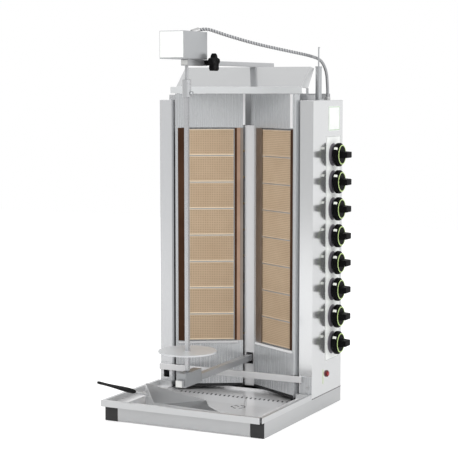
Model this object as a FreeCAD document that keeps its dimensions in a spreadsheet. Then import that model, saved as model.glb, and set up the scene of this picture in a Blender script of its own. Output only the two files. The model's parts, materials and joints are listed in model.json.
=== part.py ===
import FreeCAD
import Part
import math
import os
import re

import Sketcher

App = FreeCAD
Vec = App.Vector
doc = App.newDocument("DonerGrill")

# Driving sizes, in millimetres and degrees
SIZES = [
    ("base_width", 550), ("base_depth", 600), ("base_height", 48),
    ("rail_width", 45), ("rail_wall", 2), ("rear_rail_depth", 38), ("cap_face", 3),
    ("cap_plug", 18), ("strap_depth", 40), ("strap_thickness", 1.2), ("fit_gap", 0.25), ("sheet", 1.5),
    ("tray_left_overhang", 8), ("tray_right_overhang", 1.5), ("tray_front_overhang", 13),
    ("tray_rim_rise", 17), ("rim_fold", 10), ("tray_lip_drop", 19.5), ("tray_ledge_gap", 0.3),
    ("basin_margin", 4), ("tray_floor_low", 24), ("tray_floor_fold", 35), ("tray_floor_rear", 37.5),
    ("fold_low_y", 0), ("fold_high_y", 52), ("tray_wide_end", 52.5), ("tray_end", 150),
    ("tray_rear_height", 44), ("drain_x", 62), ("drain_y", -41), ("drain_bore", 4),
    ("drain_ring", 21), ("drain_slot", 5), ("drain_slot_angle", 34), ("sieve_bore", 2),
    ("sieve_pitch", 16), ("sieve_count", 25),
    ("drawer_clearance", 6), ("drawer_floor", 3), ("drawer_wall_height", 17), ("drawer_depth", 540),
    ("drawer_top_gap", 4.5), ("drawer_side_gap", 0.6), ("runner_width", 18),
    ("deck_thickness", 2),
    ("housing_front", 57.5), ("housing_drop", 20.5), ("left_housing_base", 126),
    ("cover_sheet", 1.5), ("foot_sheet", 2), ("foot_window_low", 75), ("foot_window_high", 101),
    ("foot_window_width", 21), ("cross_rail_low", 101), ("cross_rail_height", 20), ("cross_rail_depth", 9),
    ("panel_angle", 30), ("panel_apex_y", 175), ("panel_inner", 23.2), ("panel_side_gap", 16.1),
    ("panel_top", 1018.5), ("panel_return", 20), ("window_margin", 3),
    ("tile_recess", 3.5), ("tile_start", 55), ("tile_width", 168), ("tile_thickness", 12),
    ("tile_base", 203.7), ("row_pitch", 87.65), ("tile_joint", 3), ("row_count", 8),
    ("burner_depth", 46), ("burner_wall", 1.5), ("burner_rim", 4), ("pipe_radius", 4), ("pipe_gap", 0.15),
    ("right_pipe_y", 150), ("left_pipe_x", 140), ("pipe_bend", 14),
    ("column_width", 39), ("column_front", 172), ("column_depth", 38), ("column_top", 915),
    ("column_window_low", 122), ("column_window_high", 160), ("column_window_width", 25),
    ("arm_width", 20), ("lower_arm_height", 20), ("lower_arm_low", 134), ("lower_arm_front", -324),
    ("tube_wall", 2), ("end_cap", 4),
    ("spit_y", -266), ("slider_wall", 4), ("slider_front", -305),
    ("slider_length", 105), ("slider_cap", 19), ("slide_gap", 0.3),
    ("groove_pitch", 8), ("groove_width", 3), ("groove_depth", 1.2), ("groove_count", 12),
    ("pivot_radius", 3), ("pivot_height", 9), ("bearing_gap", 0.05),
    ("bar_side", 12), ("bar_gap", 1.5), ("bar_insert", 21), ("disc_radius", 89.5), ("disc_base", 233),
    ("disc_thickness", 5), ("disc_hub_radius", 16), ("disc_hub_height", 14),
    ("coupling_radius", 13.5), ("coupling_drop", 96), ("coupling_length", 54),
    ("shaft_radius", 5), ("shaft_gap", 12), ("shaft_rise", 12.5), ("clamp_screw_radius", 3),
    ("clamp_screw_length", 14), ("clamp_screw_rise", 43),
    ("upper_arm_x", 19), ("upper_arm_height", 14), ("hood_rise", 86.5), ("upper_arm_front", -317),
    ("arm_rear_gap", 4), ("carriage_wall", 2.2), ("carriage_front", -313), ("carriage_length", 123),
    ("motor_left", -40), ("motor_right", 42), ("motor_front", -360), ("motor_back", -212),
    ("carriage_roof", 2.7), ("motor_height", 80.5), ("plate_margin", 2), ("plate_sheet", 1),
    ("gearbox_side", 56), ("gearbox_height", 36), ("motor_radius", 25), ("motor_length", 36),
    ("star_y", -205), ("star_radius", 28.5), ("star_length", 33), ("star_stem_radius", 4),
    ("star_lobe_radius", 9), ("star_core_radius", 20), ("star_gap", 1),
    ("hood_inset", 40), ("hood_band_height", 22.1), ("hood_shelf", 34), ("hood_slope_back", 93),
    ("hood_wing", 22), ("wing_flare", 4), ("wing_back", 8), ("mast_depth", 30),
    ("hood_bracket_y", 99), ("hood_bracket_reach", 28), ("hood_bracket_height", 17),
    ("knob_base", 209), ("knob_y", 219), ("knob_plate_low", 154), ("knob_plate_high", 883),
    ("knob_plate_width", 116), ("bezel_radius", 37.5), ("bezel_depth", 7), ("knob_neck_radius", 20),
    ("knob_neck", 5), ("knob_radius", 38), ("knob_skirt", 13), ("grip_reach", 41), ("grip_width", 24),
    ("grip_length", 52), ("stem_radius", 5),
    ("valve_radius", 9), ("valve_length", 20), ("manifold_radius", 7), ("manifold_y", 235),
    ("inlet_pipe_radius", 9), ("inlet_radius", 10.5), ("inlet_length", 18), ("inlet_z", 84),
    ("blank_plate_low", 899), ("blank_plate_height", 80), ("blank_plate_width", 93),
    ("switch_y", 177), ("switch_z", 112), ("switch_radius", 11), ("switch_depth", 4), ("button_radius", 7.5),
    ("button_proud", 3.5), ("button_back", 10),
    ("post_y", 150), ("post_radius", 10), ("post_top", 1101), ("post_foot_radius", 17),
    ("post_foot", 4), ("post_cap", 4), ("hook_rod_radius", 2.2), ("hook_top", 1166), ("hook_ring", 6),
    ("hose_radius", 5.5), ("hose_bore", 4), ("gland_radius", 9), ("gland_height", 10),
    ("screw_radius", 3.5), ("screw_head", 2),
    ("scoop_x", -167), ("scoop_y", -210), ("scoop_angle", 41), ("scoop_depth", 205), ("scoop_wall", 1),
    ("scoop_mouth", 180), ("scoop_back", 128), ("scoop_back_height", 74), ("scoop_side_height", 30),
    ("scoop_handle_height", 44), ("scoop_handle_side", 18), ("scoop_neck_radius", 3.5),
    ("scoop_neck_length", 42),
    ("scoop_handle_rise", 17), ("scoop_handle_radius", 8), ("scoop_handle_length", 128),
    ("scoop_lift", 0.4), ("pipe_rise", 5), ("manifold_inset", 25), ("stem_gap", 0.6), ("hose_end_y", 225),
    ("screw_right_inset", 15), ("screw_left_inset", 7), ("screw_low_z", 60),
    ("screw_high_z", 88), ("screw_mid_z", 80), ("right_pipe_x", 135), ("left_pipe_end", 145),
    ("burner_bore", 60), ("past", 1), ("hole_reach", 4), ("button_travel", 2.5), ("button_gap", 0.4),
    ("collar_lip", 1.5), ("collar_back", 2), ("drain_slot_count", 6), ("sieve_offset", 3),
    ("tray_seam", 1), ("window_inset", 12), ("foot_inset", 4), ("cross_rail_lap", 12), ("corner_notch", 14),
    ("column_tie", 1.5), ("manifold_headroom", 40), ("valve_inset", 10), ("pipe_inset", 2),
    ("stem_play", 0.15),
    ("groove_start", 4.8), ("gland_bore", 6), ("casing_hole", 6), ("star_lobe_count", 5),
    ("star_first_angle", 18),
    ("star_collar_radius", 9), ("star_collar_length", 3), ("star_lobe_length", 26), ("star_seat", 4),
    ("bracket_side", 4), ("ear_length", 16), ("ear_rise", 17), ("knob_plate_shift", 3),
    ("blank_plate_shift", 2), ("bezel_face_radius", 30), ("knob_gap", 1), ("knob_cover", 1.2),
    ("clamp_head_radius", 6), ("clamp_head_length", 6), ("post_cap_lip", 1), ("gland_boss", 30),
    ("gland_root", 25), ("rib_pitch", 3.6), ("rib_depth", 0.6), ("scoop_notch", 12), ("scoop_near_step", 8),
    ("scoop_lip", 2), ("handle_tip_radius", 4.8),
]

sheet = doc.addObject("Spreadsheet::Sheet", "Sizes")
size = {}
for row, (word, number) in enumerate(SIZES, 1):
    sheet.set("A%d" % row, word)
    sheet.set("B%d" % row, str(number))
    sheet.setAlias("B%d" % row, word)
    size[word] = number
doc.recompute()

# Sizes that follow from others
DERIVED = {
    "tray_rim_height": "base_height + tray_rim_rise",
    "drawer_front_height": "base_height - drawer_floor - drawer_top_gap",
    "housing_top": "panel_top - housing_drop",
    "panel_outer": "(base_width / 2 - rail_width - panel_side_gap) / cos(panel_angle)",
    "upper_arm_low": "panel_top + hood_rise",
    "upper_arm_rear": "base_depth / 2 - arm_rear_gap",
    "motor_base": "upper_arm_low + upper_arm_height + slide_gap + carriage_roof + sheet",
    "motor_top": "motor_base + motor_height",
    "slider_top": "lower_arm_low + lower_arm_height + slider_cap",
    "bar_base": "slider_top + bar_gap",
    "coupling_base": "upper_arm_low - coupling_drop",
    "coupling_top": "coupling_base + coupling_length",
    "clamp_screw_z": "coupling_base + clamp_screw_rise",
    "bar_top": "coupling_base + bar_insert",
    "shaft_base": "bar_top + shaft_gap",
    "shaft_top": "motor_base + shaft_rise",
    "star_x": "motor_right + star_gap",
    "hood_half_width": "base_width / 2 - hood_inset",
    "hood_band_top": "panel_top + hood_band_height",
    "post_x": "(base_width - rail_width) / 2",
    "manifold_x": "base_width / 2 - manifold_inset",
    "foot_top": "cross_rail_low + cross_rail_height",
    "screw_right_x": "base_width / 2 - screw_right_inset",
    "screw_left_x": "base_width / 2 - screw_left_inset",
}

WORD = re.compile(r"[a-z][a-z_]*[a-z]")
parts = {}


def bound(text):
    """The expression with each size name pointed at the sheet."""
    def pointed(match):
        word = match.group(0)
        if word in DERIVED:
            return "(" + bound(DERIVED[word]) + ")"
        return "Sizes." + word if word in size else word
    return WORD.sub(pointed, str(text))


def value(text):
    """The number that an expression of sizes comes to."""
    return float(sheet.evalExpression(bound(text)))


def place(piece, x, y, z):
    for letter, text in zip("xyz", (x, y, z)):
        piece.setExpression("Placement.Base." + letter, bound(text))


def block(x, y, z):
    """A box from (low, high) pairs of expressions."""
    piece = doc.addObject("Part::Box", "Block")
    for side, (low, high) in zip(("Length", "Width", "Height"), (x, y, z)):
        piece.setExpression(side, bound("(%s) - (%s)" % (high, low)))
    place(piece, x[0], y[0], z[0])
    return piece


TURNS = {"x": App.Rotation(Vec(0, 1, 0), 90), "y": App.Rotation(Vec(1, 0, 0), -90), "z": App.Rotation()}


def rod(radius, axis, start, length):
    """A cylinder along an axis from its start point."""
    piece = doc.addObject("Part::Cylinder", "Rod")
    piece.setExpression("Radius", bound(radius))
    piece.setExpression("Height", bound(length))
    piece.Placement = App.Placement(Vec(), TURNS[axis])
    place(piece, *start)
    return piece


def cone(radius_one, radius_two, axis, start, length):
    piece = doc.addObject("Part::Cone", "Cone")
    piece.setExpression("Radius1", bound(radius_one))
    piece.setExpression("Radius2", bound(radius_two))
    piece.setExpression("Height", bound(length))
    piece.Placement = App.Placement(Vec(), TURNS[axis])
    place(piece, *start)
    return piece


def fuse(*pieces):
    whole = doc.addObject("Part::MultiFuse", "Whole")
    whole.Shapes = list(pieces)
    return whole


def cut(base, *tools):
    rest = doc.addObject("Part::Cut", "Rest")
    rest.Base = base
    rest.Tool = tools[0] if len(tools) == 1 else fuse(*tools)
    return rest


def group(*pieces):
    """Separate solids that share one node."""
    together = doc.addObject("Part::Compound", "Group")
    together.Links = list(pieces)
    return together


def mirrored(piece):
    """The same piece on the other side of the middle plane."""
    other = doc.addObject("Part::Mirroring", "Other")
    other.Source = piece
    other.Normal = Vec(1, 0, 0)
    return other


def outline(points, plane, low, high):
    """A pad of a closed outline, from low to high along the plane's normal."""
    body = doc.addObject("PartDesign::Body", "Body")
    base = [f for f in body.Origin.OriginFeatures if f.Role == plane + "_Plane"][0]
    sketch = body.newObject("Sketcher::SketchObject", "Outline")
    sketch.AttachmentSupport = [(base, "")]
    sketch.MapMode = "FlatFace"
    turn = 2 * math.pi / len(points)
    ring = [Vec(math.cos(turn * k), math.sin(turn * k), 0) for k in range(len(points))]
    for k in range(len(points)):
        sketch.addGeometry(Part.LineSegment(ring[k], ring[(k + 1) % len(points)]), False)
    for k in range(len(points)):
        sketch.addConstraint(Sketcher.Constraint("Coincident", k, 2, (k + 1) % len(points), 1))
    for k, (across, up) in enumerate(points):
        for kind, text, now in (("DistanceX", across, ring[k].x), ("DistanceY", up, ring[k].y)):
            index = sketch.addConstraint(Sketcher.Constraint(kind, -1, 1, k, 1, now or 1.0))
            sketch.setExpression("Constraints[%d]" % index, bound(text))
    pad = body.newObject("PartDesign::Pad", "Pad")
    pad.Profile = sketch
    pad.setExpression("Length", bound("(%s) - (%s)" % (high, low)))
    letter = {"YZ": "x", "XY": "z"}[plane]
    body.setExpression("Placement.Base." + letter, bound(low))
    return body


def sub_part(name, piece):
    piece.Label = name
    parts[name] = piece
    return piece


def shaped(name, shape):
    """A sub-part whose form is worked out in code."""
    piece = doc.addObject("Part::Feature", "Shaped")
    piece.Shape = shape
    return sub_part(name, piece)


HALF = "base_width / 2"
INNER = "(base_width / 2 - rail_width)"
BACK = "base_depth / 2"
FRONT = "-base_depth / 2"


# Side rails with the drawer's runners, their end caps, and the rear rail and strap that join them
def make_rails():
    hollow = block((INNER + " + rail_wall", HALF + " - rail_wall"), (FRONT + " - past", BACK + " + past"),
                   ("rail_wall", "base_height - rail_wall"))
    tube = cut(block((INNER, HALF), (FRONT + " + cap_face", BACK), ("0", "base_height")), hollow)
    runner = block((INNER + " - runner_width", INNER), (FRONT + " + cap_face", BACK + " - rear_rail_depth"),
                   ("drawer_floor - sheet - fit_gap", "drawer_floor - fit_gap"))
    rail = fuse(tube, runner)
    sub_part("side_rails", group(rail, mirrored(rail)))
    plug = block((INNER + " + rail_wall + fit_gap", HALF + " - rail_wall - fit_gap"),
                 (FRONT + " + cap_face", FRONT + " + cap_face + cap_plug"),
                 ("rail_wall + fit_gap", "base_height - rail_wall - fit_gap"))
    cap = fuse(block((INNER, HALF), (FRONT, FRONT + " + cap_face"), ("0", "base_height")), plug)
    sub_part("rail_end_caps", group(cap, mirrored(cap)))
    rear = block(("-" + INNER, INNER), (BACK + " - rear_rail_depth", BACK), ("0", "base_height"))
    bore = block(("-" + INNER + " - past", INNER + " + past"),
                 (BACK + " - rear_rail_depth + rail_wall", BACK + " - rail_wall"),
                 ("rail_wall", "base_height - rail_wall"))
    strap = block(("-" + INNER, INNER), ("-strap_depth / 2", "strap_depth / 2"), ("0", "strap_thickness"))
    sub_part("base_cross_members", group(cut(rear, bore), strap))


# Deck that the burners and the column stand on, cut to the V behind them
def make_deck():
    reach = INNER
    tip_y = "panel_apex_y + 2 * sheet"
    end_y = "%s - %s * tan(panel_angle)" % (tip_y, reach)
    points = [("0", tip_y), (reach, end_y), (reach, BACK + " - rear_rail_depth"),
              ("-" + reach, BACK + " - rear_rail_depth"), ("-" + reach, end_y)]
    sub_part("deck_plate", outline(points, "XY", "base_height - deck_thickness", "base_height"))


# Drip tray: a basin between the rails and a folded rim over them
def make_tray():
    basin = INNER + " - basin_margin"
    left = "-%s - tray_left_overhang" % HALF
    right = HALF + " + tray_right_overhang"
    front = FRONT + " - tray_front_overhang"
    inner_front = "%s + rim_fold" % front
    ledge = "base_height + tray_ledge_gap"
    top = "tray_rim_height"
    basin_front = FRONT + " + basin_margin"
    floor_line = [(basin_front, "tray_floor_low"), ("fold_low_y", "tray_floor_low"),
                  ("fold_high_y", "tray_floor_fold"), ("tray_end", "tray_floor_rear")]
    under_line = [(y, z + " - sheet") for y, z in reversed(floor_line)]
    floor = outline(floor_line + under_line, "YZ", "-(" + basin + ")", basin)
    slots = []
    for k in range(size["drain_slot_count"]):
        ring = []
        for radius in ("drain_ring + drain_slot / 2", "drain_ring - drain_slot / 2"):
            disc = rod(radius, "z", ("drain_x", "drain_y", "0"), "tray_rim_height")
            disc.setExpression("Angle", bound("drain_slot_angle"))
            turn = 360 * k / size["drain_slot_count"]
            disc.Placement = App.Placement(Vec(), App.Rotation(Vec(0, 0, 1), turn))
            place(disc, "drain_x", "drain_y", "0")
            ring.append(disc)
        slots.append(cut(*ring))
    holes = [rod("drain_bore", "z", ("drain_x", "drain_y", "0"), "tray_rim_height")]
    for k in range(size["sieve_count"]):
        along = "(%d - (sieve_count - 1) / 2) * sieve_pitch" % k
        holes.append(rod("sieve_bore", "z", (along, "fold_high_y + sieve_offset", "0"), "tray_rim_height"))
    floor = cut(floor, *(slots + holes))
    pieces = [floor]
    for low, high in (("-(" + basin + ") - sheet", "-(" + basin + ")"), (basin, basin + " + sheet")):
        pieces.append(block((low, high), (basin_front + " - sheet", "tray_wide_end - rim_fold"),
                            ("tray_floor_low - sheet", ledge + " + sheet")))
        pieces.append(block((low, high), ("tray_wide_end - rim_fold", "tray_end"),
                            ("tray_floor_low", "tray_rear_height")))
    pieces.append(block(("-(" + basin + ") - sheet", basin + " + sheet"), ("tray_end - sheet", "tray_end"),
                        ("tray_floor_rear - sheet", "tray_rear_height")))
    pieces.append(block(("-(" + basin + ") - sheet", basin + " + sheet"),
                        (basin_front + " - sheet", basin_front),
                        ("tray_floor_low - sheet", ledge + " + sheet")))
    shelf = cut(block((left + " + rim_fold", right + " - rim_fold"), (inner_front, "tray_wide_end"),
                      (ledge, ledge + " + sheet")),
                block(("-(" + basin + ")", basin), (basin_front, "tray_wide_end + past"),
                      ("0", "tray_rim_height")))
    pieces.append(shelf)
    outer = block((left, right), (front, "tray_wide_end"), (ledge, top))
    inner = block((left + " + rim_fold + sheet", right + " - rim_fold - sheet"),
                  (inner_front + " + sheet", "tray_wide_end - rim_fold - sheet"), ("0", top + " + past"))
    hollow = cut(block((left + " + sheet", right + " - sheet"), (front + " + sheet", "tray_wide_end - sheet"),
                       ("0", top + " - sheet")),
                 block((left + " + rim_fold", right + " - rim_fold"),
                       (inner_front, "tray_wide_end - rim_fold"), ("0", top + " + past")))
    opening = block(("-(" + basin + ")", basin),
                    ("tray_wide_end - rim_fold - 2 * sheet", "tray_wide_end + past"), ("0", top + " + past"))
    seam = block((right + " - rim_fold", right + " - sheet - tray_seam"), (front + " - past", inner_front),
                 (ledge + " - past", top + " + past"))
    rim = cut(outer, inner, hollow, opening, seam)
    pieces.append(rim)
    pieces.append(block((left, right + " - rim_fold"), (front, front + " + sheet"),
                        (top + " - tray_lip_drop", ledge + " + sheet")))
    sub_part("drip_tray", fuse(*pieces))


# Fat drawer under the drain, with the plain front between the caps
def make_drawer():
    side = INNER + " - drawer_clearance"
    start = FRONT + " + sheet"
    pan = block(("-(" + side + ")", side), (start, start + " + drawer_depth"),
                ("drawer_floor", "drawer_floor + drawer_wall_height"))
    hollow = block(("-(" + side + ") + sheet", side + " - sheet"),
                   (start + " + sheet", start + " + drawer_depth - sheet"),
                   ("drawer_floor + sheet", "drawer_floor + drawer_wall_height + past"))
    face = block(("-(" + INNER + ") + drawer_side_gap", INNER + " - drawer_side_gap"),
                 (FRONT, start), ("drawer_floor", "drawer_floor + drawer_front_height"))
    sub_part("fat_drawer", fuse(cut(pan, hollow), face))


def knob_height(row):
    return "(knob_base + %d * row_pitch)" % row


def pipe_level(row):
    return knob_height(row) + " + pipe_rise"


# Sheet-metal housings beside the burners, their covers and the rear cover
def make_housings():
    top = "housing_top - cover_sheet"
    box = block((INNER, HALF), ("housing_front", BACK), ("base_height", top))
    hollow = block((INNER + " + sheet", HALF + " - sheet"), ("housing_front + sheet", BACK + " - sheet"),
                   ("base_height + sheet", "housing_top"))
    outside, inside, through = HALF + " - hole_reach", INNER + " - hole_reach", "2 * hole_reach"
    holes = [rod("switch_radius - collar_lip", "x", (outside, "switch_y", "switch_z"), through),
             rod("inlet_pipe_radius + pipe_gap", "y", ("manifold_x", BACK + " - hole_reach", "inlet_z"),
                 through)]
    for row in range(size["row_count"]):
        holes.append(rod("stem_radius + stem_gap", "x", (outside, "knob_y", knob_height(row)), through))
        for pipe_y in ("knob_y", "right_pipe_y"):
            holes.append(rod("pipe_radius + pipe_gap", "x", (inside, pipe_y, pipe_level(row)), through))
    sub_part("control_box", cut(box, hollow, *holes))
    lid = block((INNER, HALF), ("housing_front", BACK), (top, "housing_top"))
    stopper = block((INNER + " + sheet + fit_gap", HALF + " - sheet - fit_gap"),
                    ("housing_front + sheet + fit_gap", BACK + " - sheet - fit_gap"), (top + " - sheet", top))
    wire_hole = rod("gland_bore", "z", ("post_x", "hose_end_y", top + " - hole_reach"), through)
    sub_part("control_box_cover", cut(fuse(lid, stopper), wire_hole))
    left = block(("-" + HALF, "-" + INNER), ("housing_front", BACK), ("left_housing_base", "housing_top"))
    left_hollow = block(("-" + HALF + " + sheet", "-" + INNER + " - sheet"),
                        ("housing_front + sheet", BACK + " - sheet"),
                        ("left_housing_base - past", "housing_top - sheet"))
    sub_part("left_housing", cut(left, left_hollow))
    sub_part("rear_cover", block(("-" + INNER, INNER), (BACK + " - sheet", BACK),
                                 ("base_height", "panel_top")))


# Feet under the housings' fronts and the rail across them
def make_feet():
    front = "housing_front - foot_sheet"
    left = cut(block(("-" + HALF, "-" + INNER), (front, BACK), ("base_height", "left_housing_base")),
               block(("-" + HALF + " + foot_sheet", "-" + INNER + " - foot_sheet"),
                     (front + " + foot_sheet", BACK + " - foot_sheet"),
                     ("base_height - past", "left_housing_base - foot_sheet")),
               block(("-base_width / 2 + window_inset", "-base_width / 2 + window_inset + foot_window_width"),
                     (front + " - past", "housing_front + past"), ("foot_window_low", "foot_window_high")))
    sub_part("left_foot", left)
    right = block((INNER + " + foot_inset", HALF), (front, "housing_front"), ("base_height", "foot_top"))
    sub_part("right_foot", right)
    rail = block(("-" + HALF, INNER + " + cross_rail_lap"), (front + " - cross_rail_depth", front),
                 ("cross_rail_low", "cross_rail_low + cross_rail_height"))
    rail_hollow = block(("-" + HALF + " - past", INNER + " + cross_rail_lap + past"),
                        (front + " - cross_rail_depth + rail_wall", front + " - rail_wall"),
                        ("cross_rail_low + rail_wall", "cross_rail_low + cross_rail_height - rail_wall"))
    sub_part("cross_rail", cut(rail, rail_hollow))
    screws = []
    for x, z in (("screw_right_x", "screw_low_z"), ("screw_right_x", "screw_high_z"),
                 ("-screw_left_x", "screw_low_z"), ("-screw_left_x", "screw_mid_z")):
        screws.append(rod("screw_radius", "y", (x, front + " - screw_head", z), "screw_head"))
    sub_part("foot_screws", group(*screws))


# Burner fronts at an angle: sheet, ceramic tiles and a burner behind each tile
def make_burners():
    def angled(piece):
        piece.Placement = App.Placement(Vec(0, 0, 0), App.Rotation(Vec(0, 0, 1), 360 - size["panel_angle"]))
        piece.setExpression("Placement.Rotation.Angle", bound("360 - panel_angle"))
        piece.setExpression("Placement.Base.y", "Sizes.panel_apex_y")
        return piece

    window = ("tile_start - window_margin", "tile_start + tile_width + window_margin")
    tiles_top = "tile_base + row_count * row_pitch"
    tall = ("base_height", "panel_top")
    face = block(("panel_inner", "panel_outer"), ("0", "sheet"), tall)
    inner_fold = block(("panel_inner", "panel_inner + sheet"), ("0", "tile_thickness"), tall)
    outer_fold = block(("panel_outer - sheet", "panel_outer"), ("0", "panel_return"), tall)
    opening = block(window, ("-past", "sheet + past"),
                    ("tile_base - window_margin", tiles_top + " + window_margin"))
    rail_notch = block(("panel_outer - corner_notch", "panel_outer + past"), ("-past", "cross_rail_depth"),
                       ("cross_rail_low - past", "cross_rail_low + cross_rail_height + past"))
    frame = angled(cut(fuse(face, inner_fold, outer_fold), opening, rail_notch))
    sub_part("right_burner_front", frame)
    sub_part("left_burner_front", mirrored(frame))
    tiles, burners = [], []
    for row in range(size["row_count"]):
        low = "tile_base + %d * row_pitch" % row
        high = low + " + row_pitch - tile_joint"
        tiles.append(block(("tile_start", "tile_start + tile_width"),
                           ("tile_recess", "tile_recess + tile_thickness"), (low, high)))
        shell = block(("tile_start - burner_rim", "tile_start + tile_width + burner_rim"),
                      ("sheet", "sheet + burner_depth"),
                      (low + " - tile_joint / 2 + pipe_gap", high + " + tile_joint / 2 - pipe_gap"))
        pocket = block(("tile_start - fit_gap", "tile_start + tile_width + fit_gap"),
                       ("0", "tile_recess + tile_thickness"), (low + " - fit_gap", high + " + fit_gap"))
        chamber = block(("tile_start + burner_wall", "tile_start + tile_width - burner_wall"),
                        ("tile_recess", "sheet + burner_depth - burner_wall"),
                        (low + " + burner_wall", high + " - burner_wall"))
        burners.append(cut(shell, pocket, chamber))
    tile_set = angled(group(*tiles))
    sub_part("right_tiles", tile_set)
    sub_part("left_tiles", mirrored(tile_set))
    right_set = angled(group(*burners))
    left_set = mirrored(right_set)
    right_bores, left_bores = [], []
    for row in range(size["row_count"]):
        level = pipe_level(row)
        right_bores.append(rod("pipe_radius + pipe_gap", "x", ("right_pipe_x", "right_pipe_y", level),
                               "burner_bore"))
        left_bores.append(rod("pipe_radius + pipe_gap", "y", ("-left_pipe_x", "left_pipe_end", level),
                              "burner_bore"))
    sub_part("right_burners", cut(right_set, *right_bores))
    sub_part("left_burners", cut(left_set, *left_bores))


def swept_tube(points, radius, bend):
    """Straight runs joined by equal bends, swept with a circle."""
    edges, start = [], points[0]
    for before, corner, after in zip(points, points[1:], points[2:]):
        back, on = (before - corner).normalize(), (after - corner).normalize()
        half_turn = back.getAngle(on) / 2
        reach = bend / math.tan(half_turn)
        middle = corner + (back + on).normalize() * (bend / math.sin(half_turn) - bend)
        first, last = corner + back * reach, corner + on * reach
        edges.append(Part.LineSegment(start, first).toShape())
        edges.append(Part.Arc(first, middle, last).toShape())
        start = last
    edges.append(Part.LineSegment(start, points[-1]).toShape())
    path = Part.Wire(edges)
    ring = Part.Wire(Part.makeCircle(radius, points[0], points[1] - points[0]))
    return path.makePipeShell([ring], True, False)


# Gas train inside the control box: manifold with the rear inlet, a valve and two pipes for each row
def make_gas():
    s = size
    stem = rod("manifold_radius", "z", ("manifold_x", "manifold_y", "inlet_z"),
               "knob_plate_high - inlet_z - manifold_headroom")
    start_y = "manifold_y - manifold_radius - pipe_inset"
    feed = rod("inlet_pipe_radius", "y", ("manifold_x", start_y, "inlet_z"), "%s - (%s)" % (BACK, start_y))
    thread = rod("inlet_radius", "y", ("manifold_x", BACK, "inlet_z"), "inlet_length")
    sub_part("gas_manifold", fuse(stem, feed, thread))
    valves, pipes = [], []
    valve_x, pipe_x = value("manifold_x - valve_inset"), value("manifold_x - pipe_inset")
    for row in range(s["row_count"]):
        valves.append(rod("valve_radius", "x", ("manifold_x - valve_inset", "knob_y", knob_height(row)),
                          "valve_length"))
        height = s["knob_base"] + row * s["row_pitch"]
        level = height + s["pipe_rise"]
        right = [Vec(pipe_x, s["knob_y"], level), Vec(pipe_x, s["right_pipe_y"], level),
                 Vec(s["right_pipe_x"], s["right_pipe_y"], level)]
        left = [Vec(valve_x, s["knob_y"], level), Vec(-s["left_pipe_x"], s["knob_y"], level),
                Vec(-s["left_pipe_x"], s["left_pipe_end"], level)]
        valve = Part.makeCylinder(s["valve_radius"], s["valve_length"], Vec(valve_x, s["knob_y"], height),
                                  Vec(1, 0, 0))
        pipes += [swept_tube(right, s["pipe_radius"], s["pipe_bend"]).cut(valve).Solids[0],
                  swept_tube(left, s["pipe_radius"], s["pipe_bend"])]
    sub_part("gas_valves", group(*valves))
    shaped("gas_pipes", Part.makeCompound(pipes))


# Centre column between the two burner fronts, open at the back, with the lower arm's window
def make_column():
    side = "column_width / 2"
    back = "column_front + column_depth"
    outer = block(("-" + side, side), ("column_front", back), ("base_height", "column_top"))
    hollow = block(("-" + side + " + sheet", side + " - sheet"), ("column_front + sheet", back + " + past"),
                   ("base_height - past", "column_top + past"))
    tie = block(("-" + side + " + sheet", side + " - sheet"), (back + " - column_tie", back),
                ("column_window_low", "column_window_high"))
    window = block(("-column_window_width / 2", "column_window_width / 2"),
                   ("column_front - past", "column_front + sheet + past"),
                   ("column_window_low", "column_window_high"))
    sub_part("centre_column", fuse(cut(outer, hollow, window), tie))


# The two fixed arms that carry the spit's carriages, with their end caps
def make_arms():
    half = "arm_width / 2"
    lower = cut(block(("-" + half, half),
                      ("lower_arm_front + end_cap", "column_front + column_depth - column_tie"),
                      ("lower_arm_low", "lower_arm_low + lower_arm_height")),
                block(("-" + half + " + tube_wall", half + " - tube_wall"),
                      ("lower_arm_front", "column_front + column_depth"),
                      ("lower_arm_low + tube_wall", "lower_arm_low + lower_arm_height - tube_wall")))
    sub_part("lower_arm", lower)
    x_low, x_high = "upper_arm_x - " + half, "upper_arm_x + " + half
    upper = cut(block((x_low, x_high), ("upper_arm_front + end_cap", "upper_arm_rear"),
                      ("upper_arm_low", "upper_arm_low + upper_arm_height")),
                block((x_low + " + tube_wall", x_high + " - tube_wall"),
                      ("upper_arm_front", "upper_arm_rear + past"),
                      ("upper_arm_low + tube_wall", "upper_arm_low + upper_arm_height - tube_wall")))
    mast = cut(block((x_low, x_high), ("upper_arm_rear - mast_depth", "upper_arm_rear"),
                     ("base_height", "upper_arm_low")),
               block((x_low + " + tube_wall", x_high + " - tube_wall"),
                     ("upper_arm_rear - mast_depth + tube_wall", "upper_arm_rear - tube_wall"),
                     ("base_height - past", "upper_arm_low - past")))
    sub_part("upper_arm", fuse(upper, mast))
    caps = []
    for low, high, front, base, height in (("-" + half, half, "lower_arm_front", "lower_arm_low",
                                            "lower_arm_height"),
                                           (x_low, x_high, "upper_arm_front", "upper_arm_low",
                                            "upper_arm_height")):
        face = block((low, high), (front, front + " + end_cap"), (base, "%s + %s" % (base, height)))
        plug = block((low + " + tube_wall + fit_gap", high + " - tube_wall - fit_gap"),
                     (front, front + " + 3 * end_cap"),
                     (base + " + tube_wall + fit_gap", "%s + %s - tube_wall - fit_gap" % (base, height)))
        caps.append(fuse(face, plug))
    sub_part("arm_end_caps", group(*caps))


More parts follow.
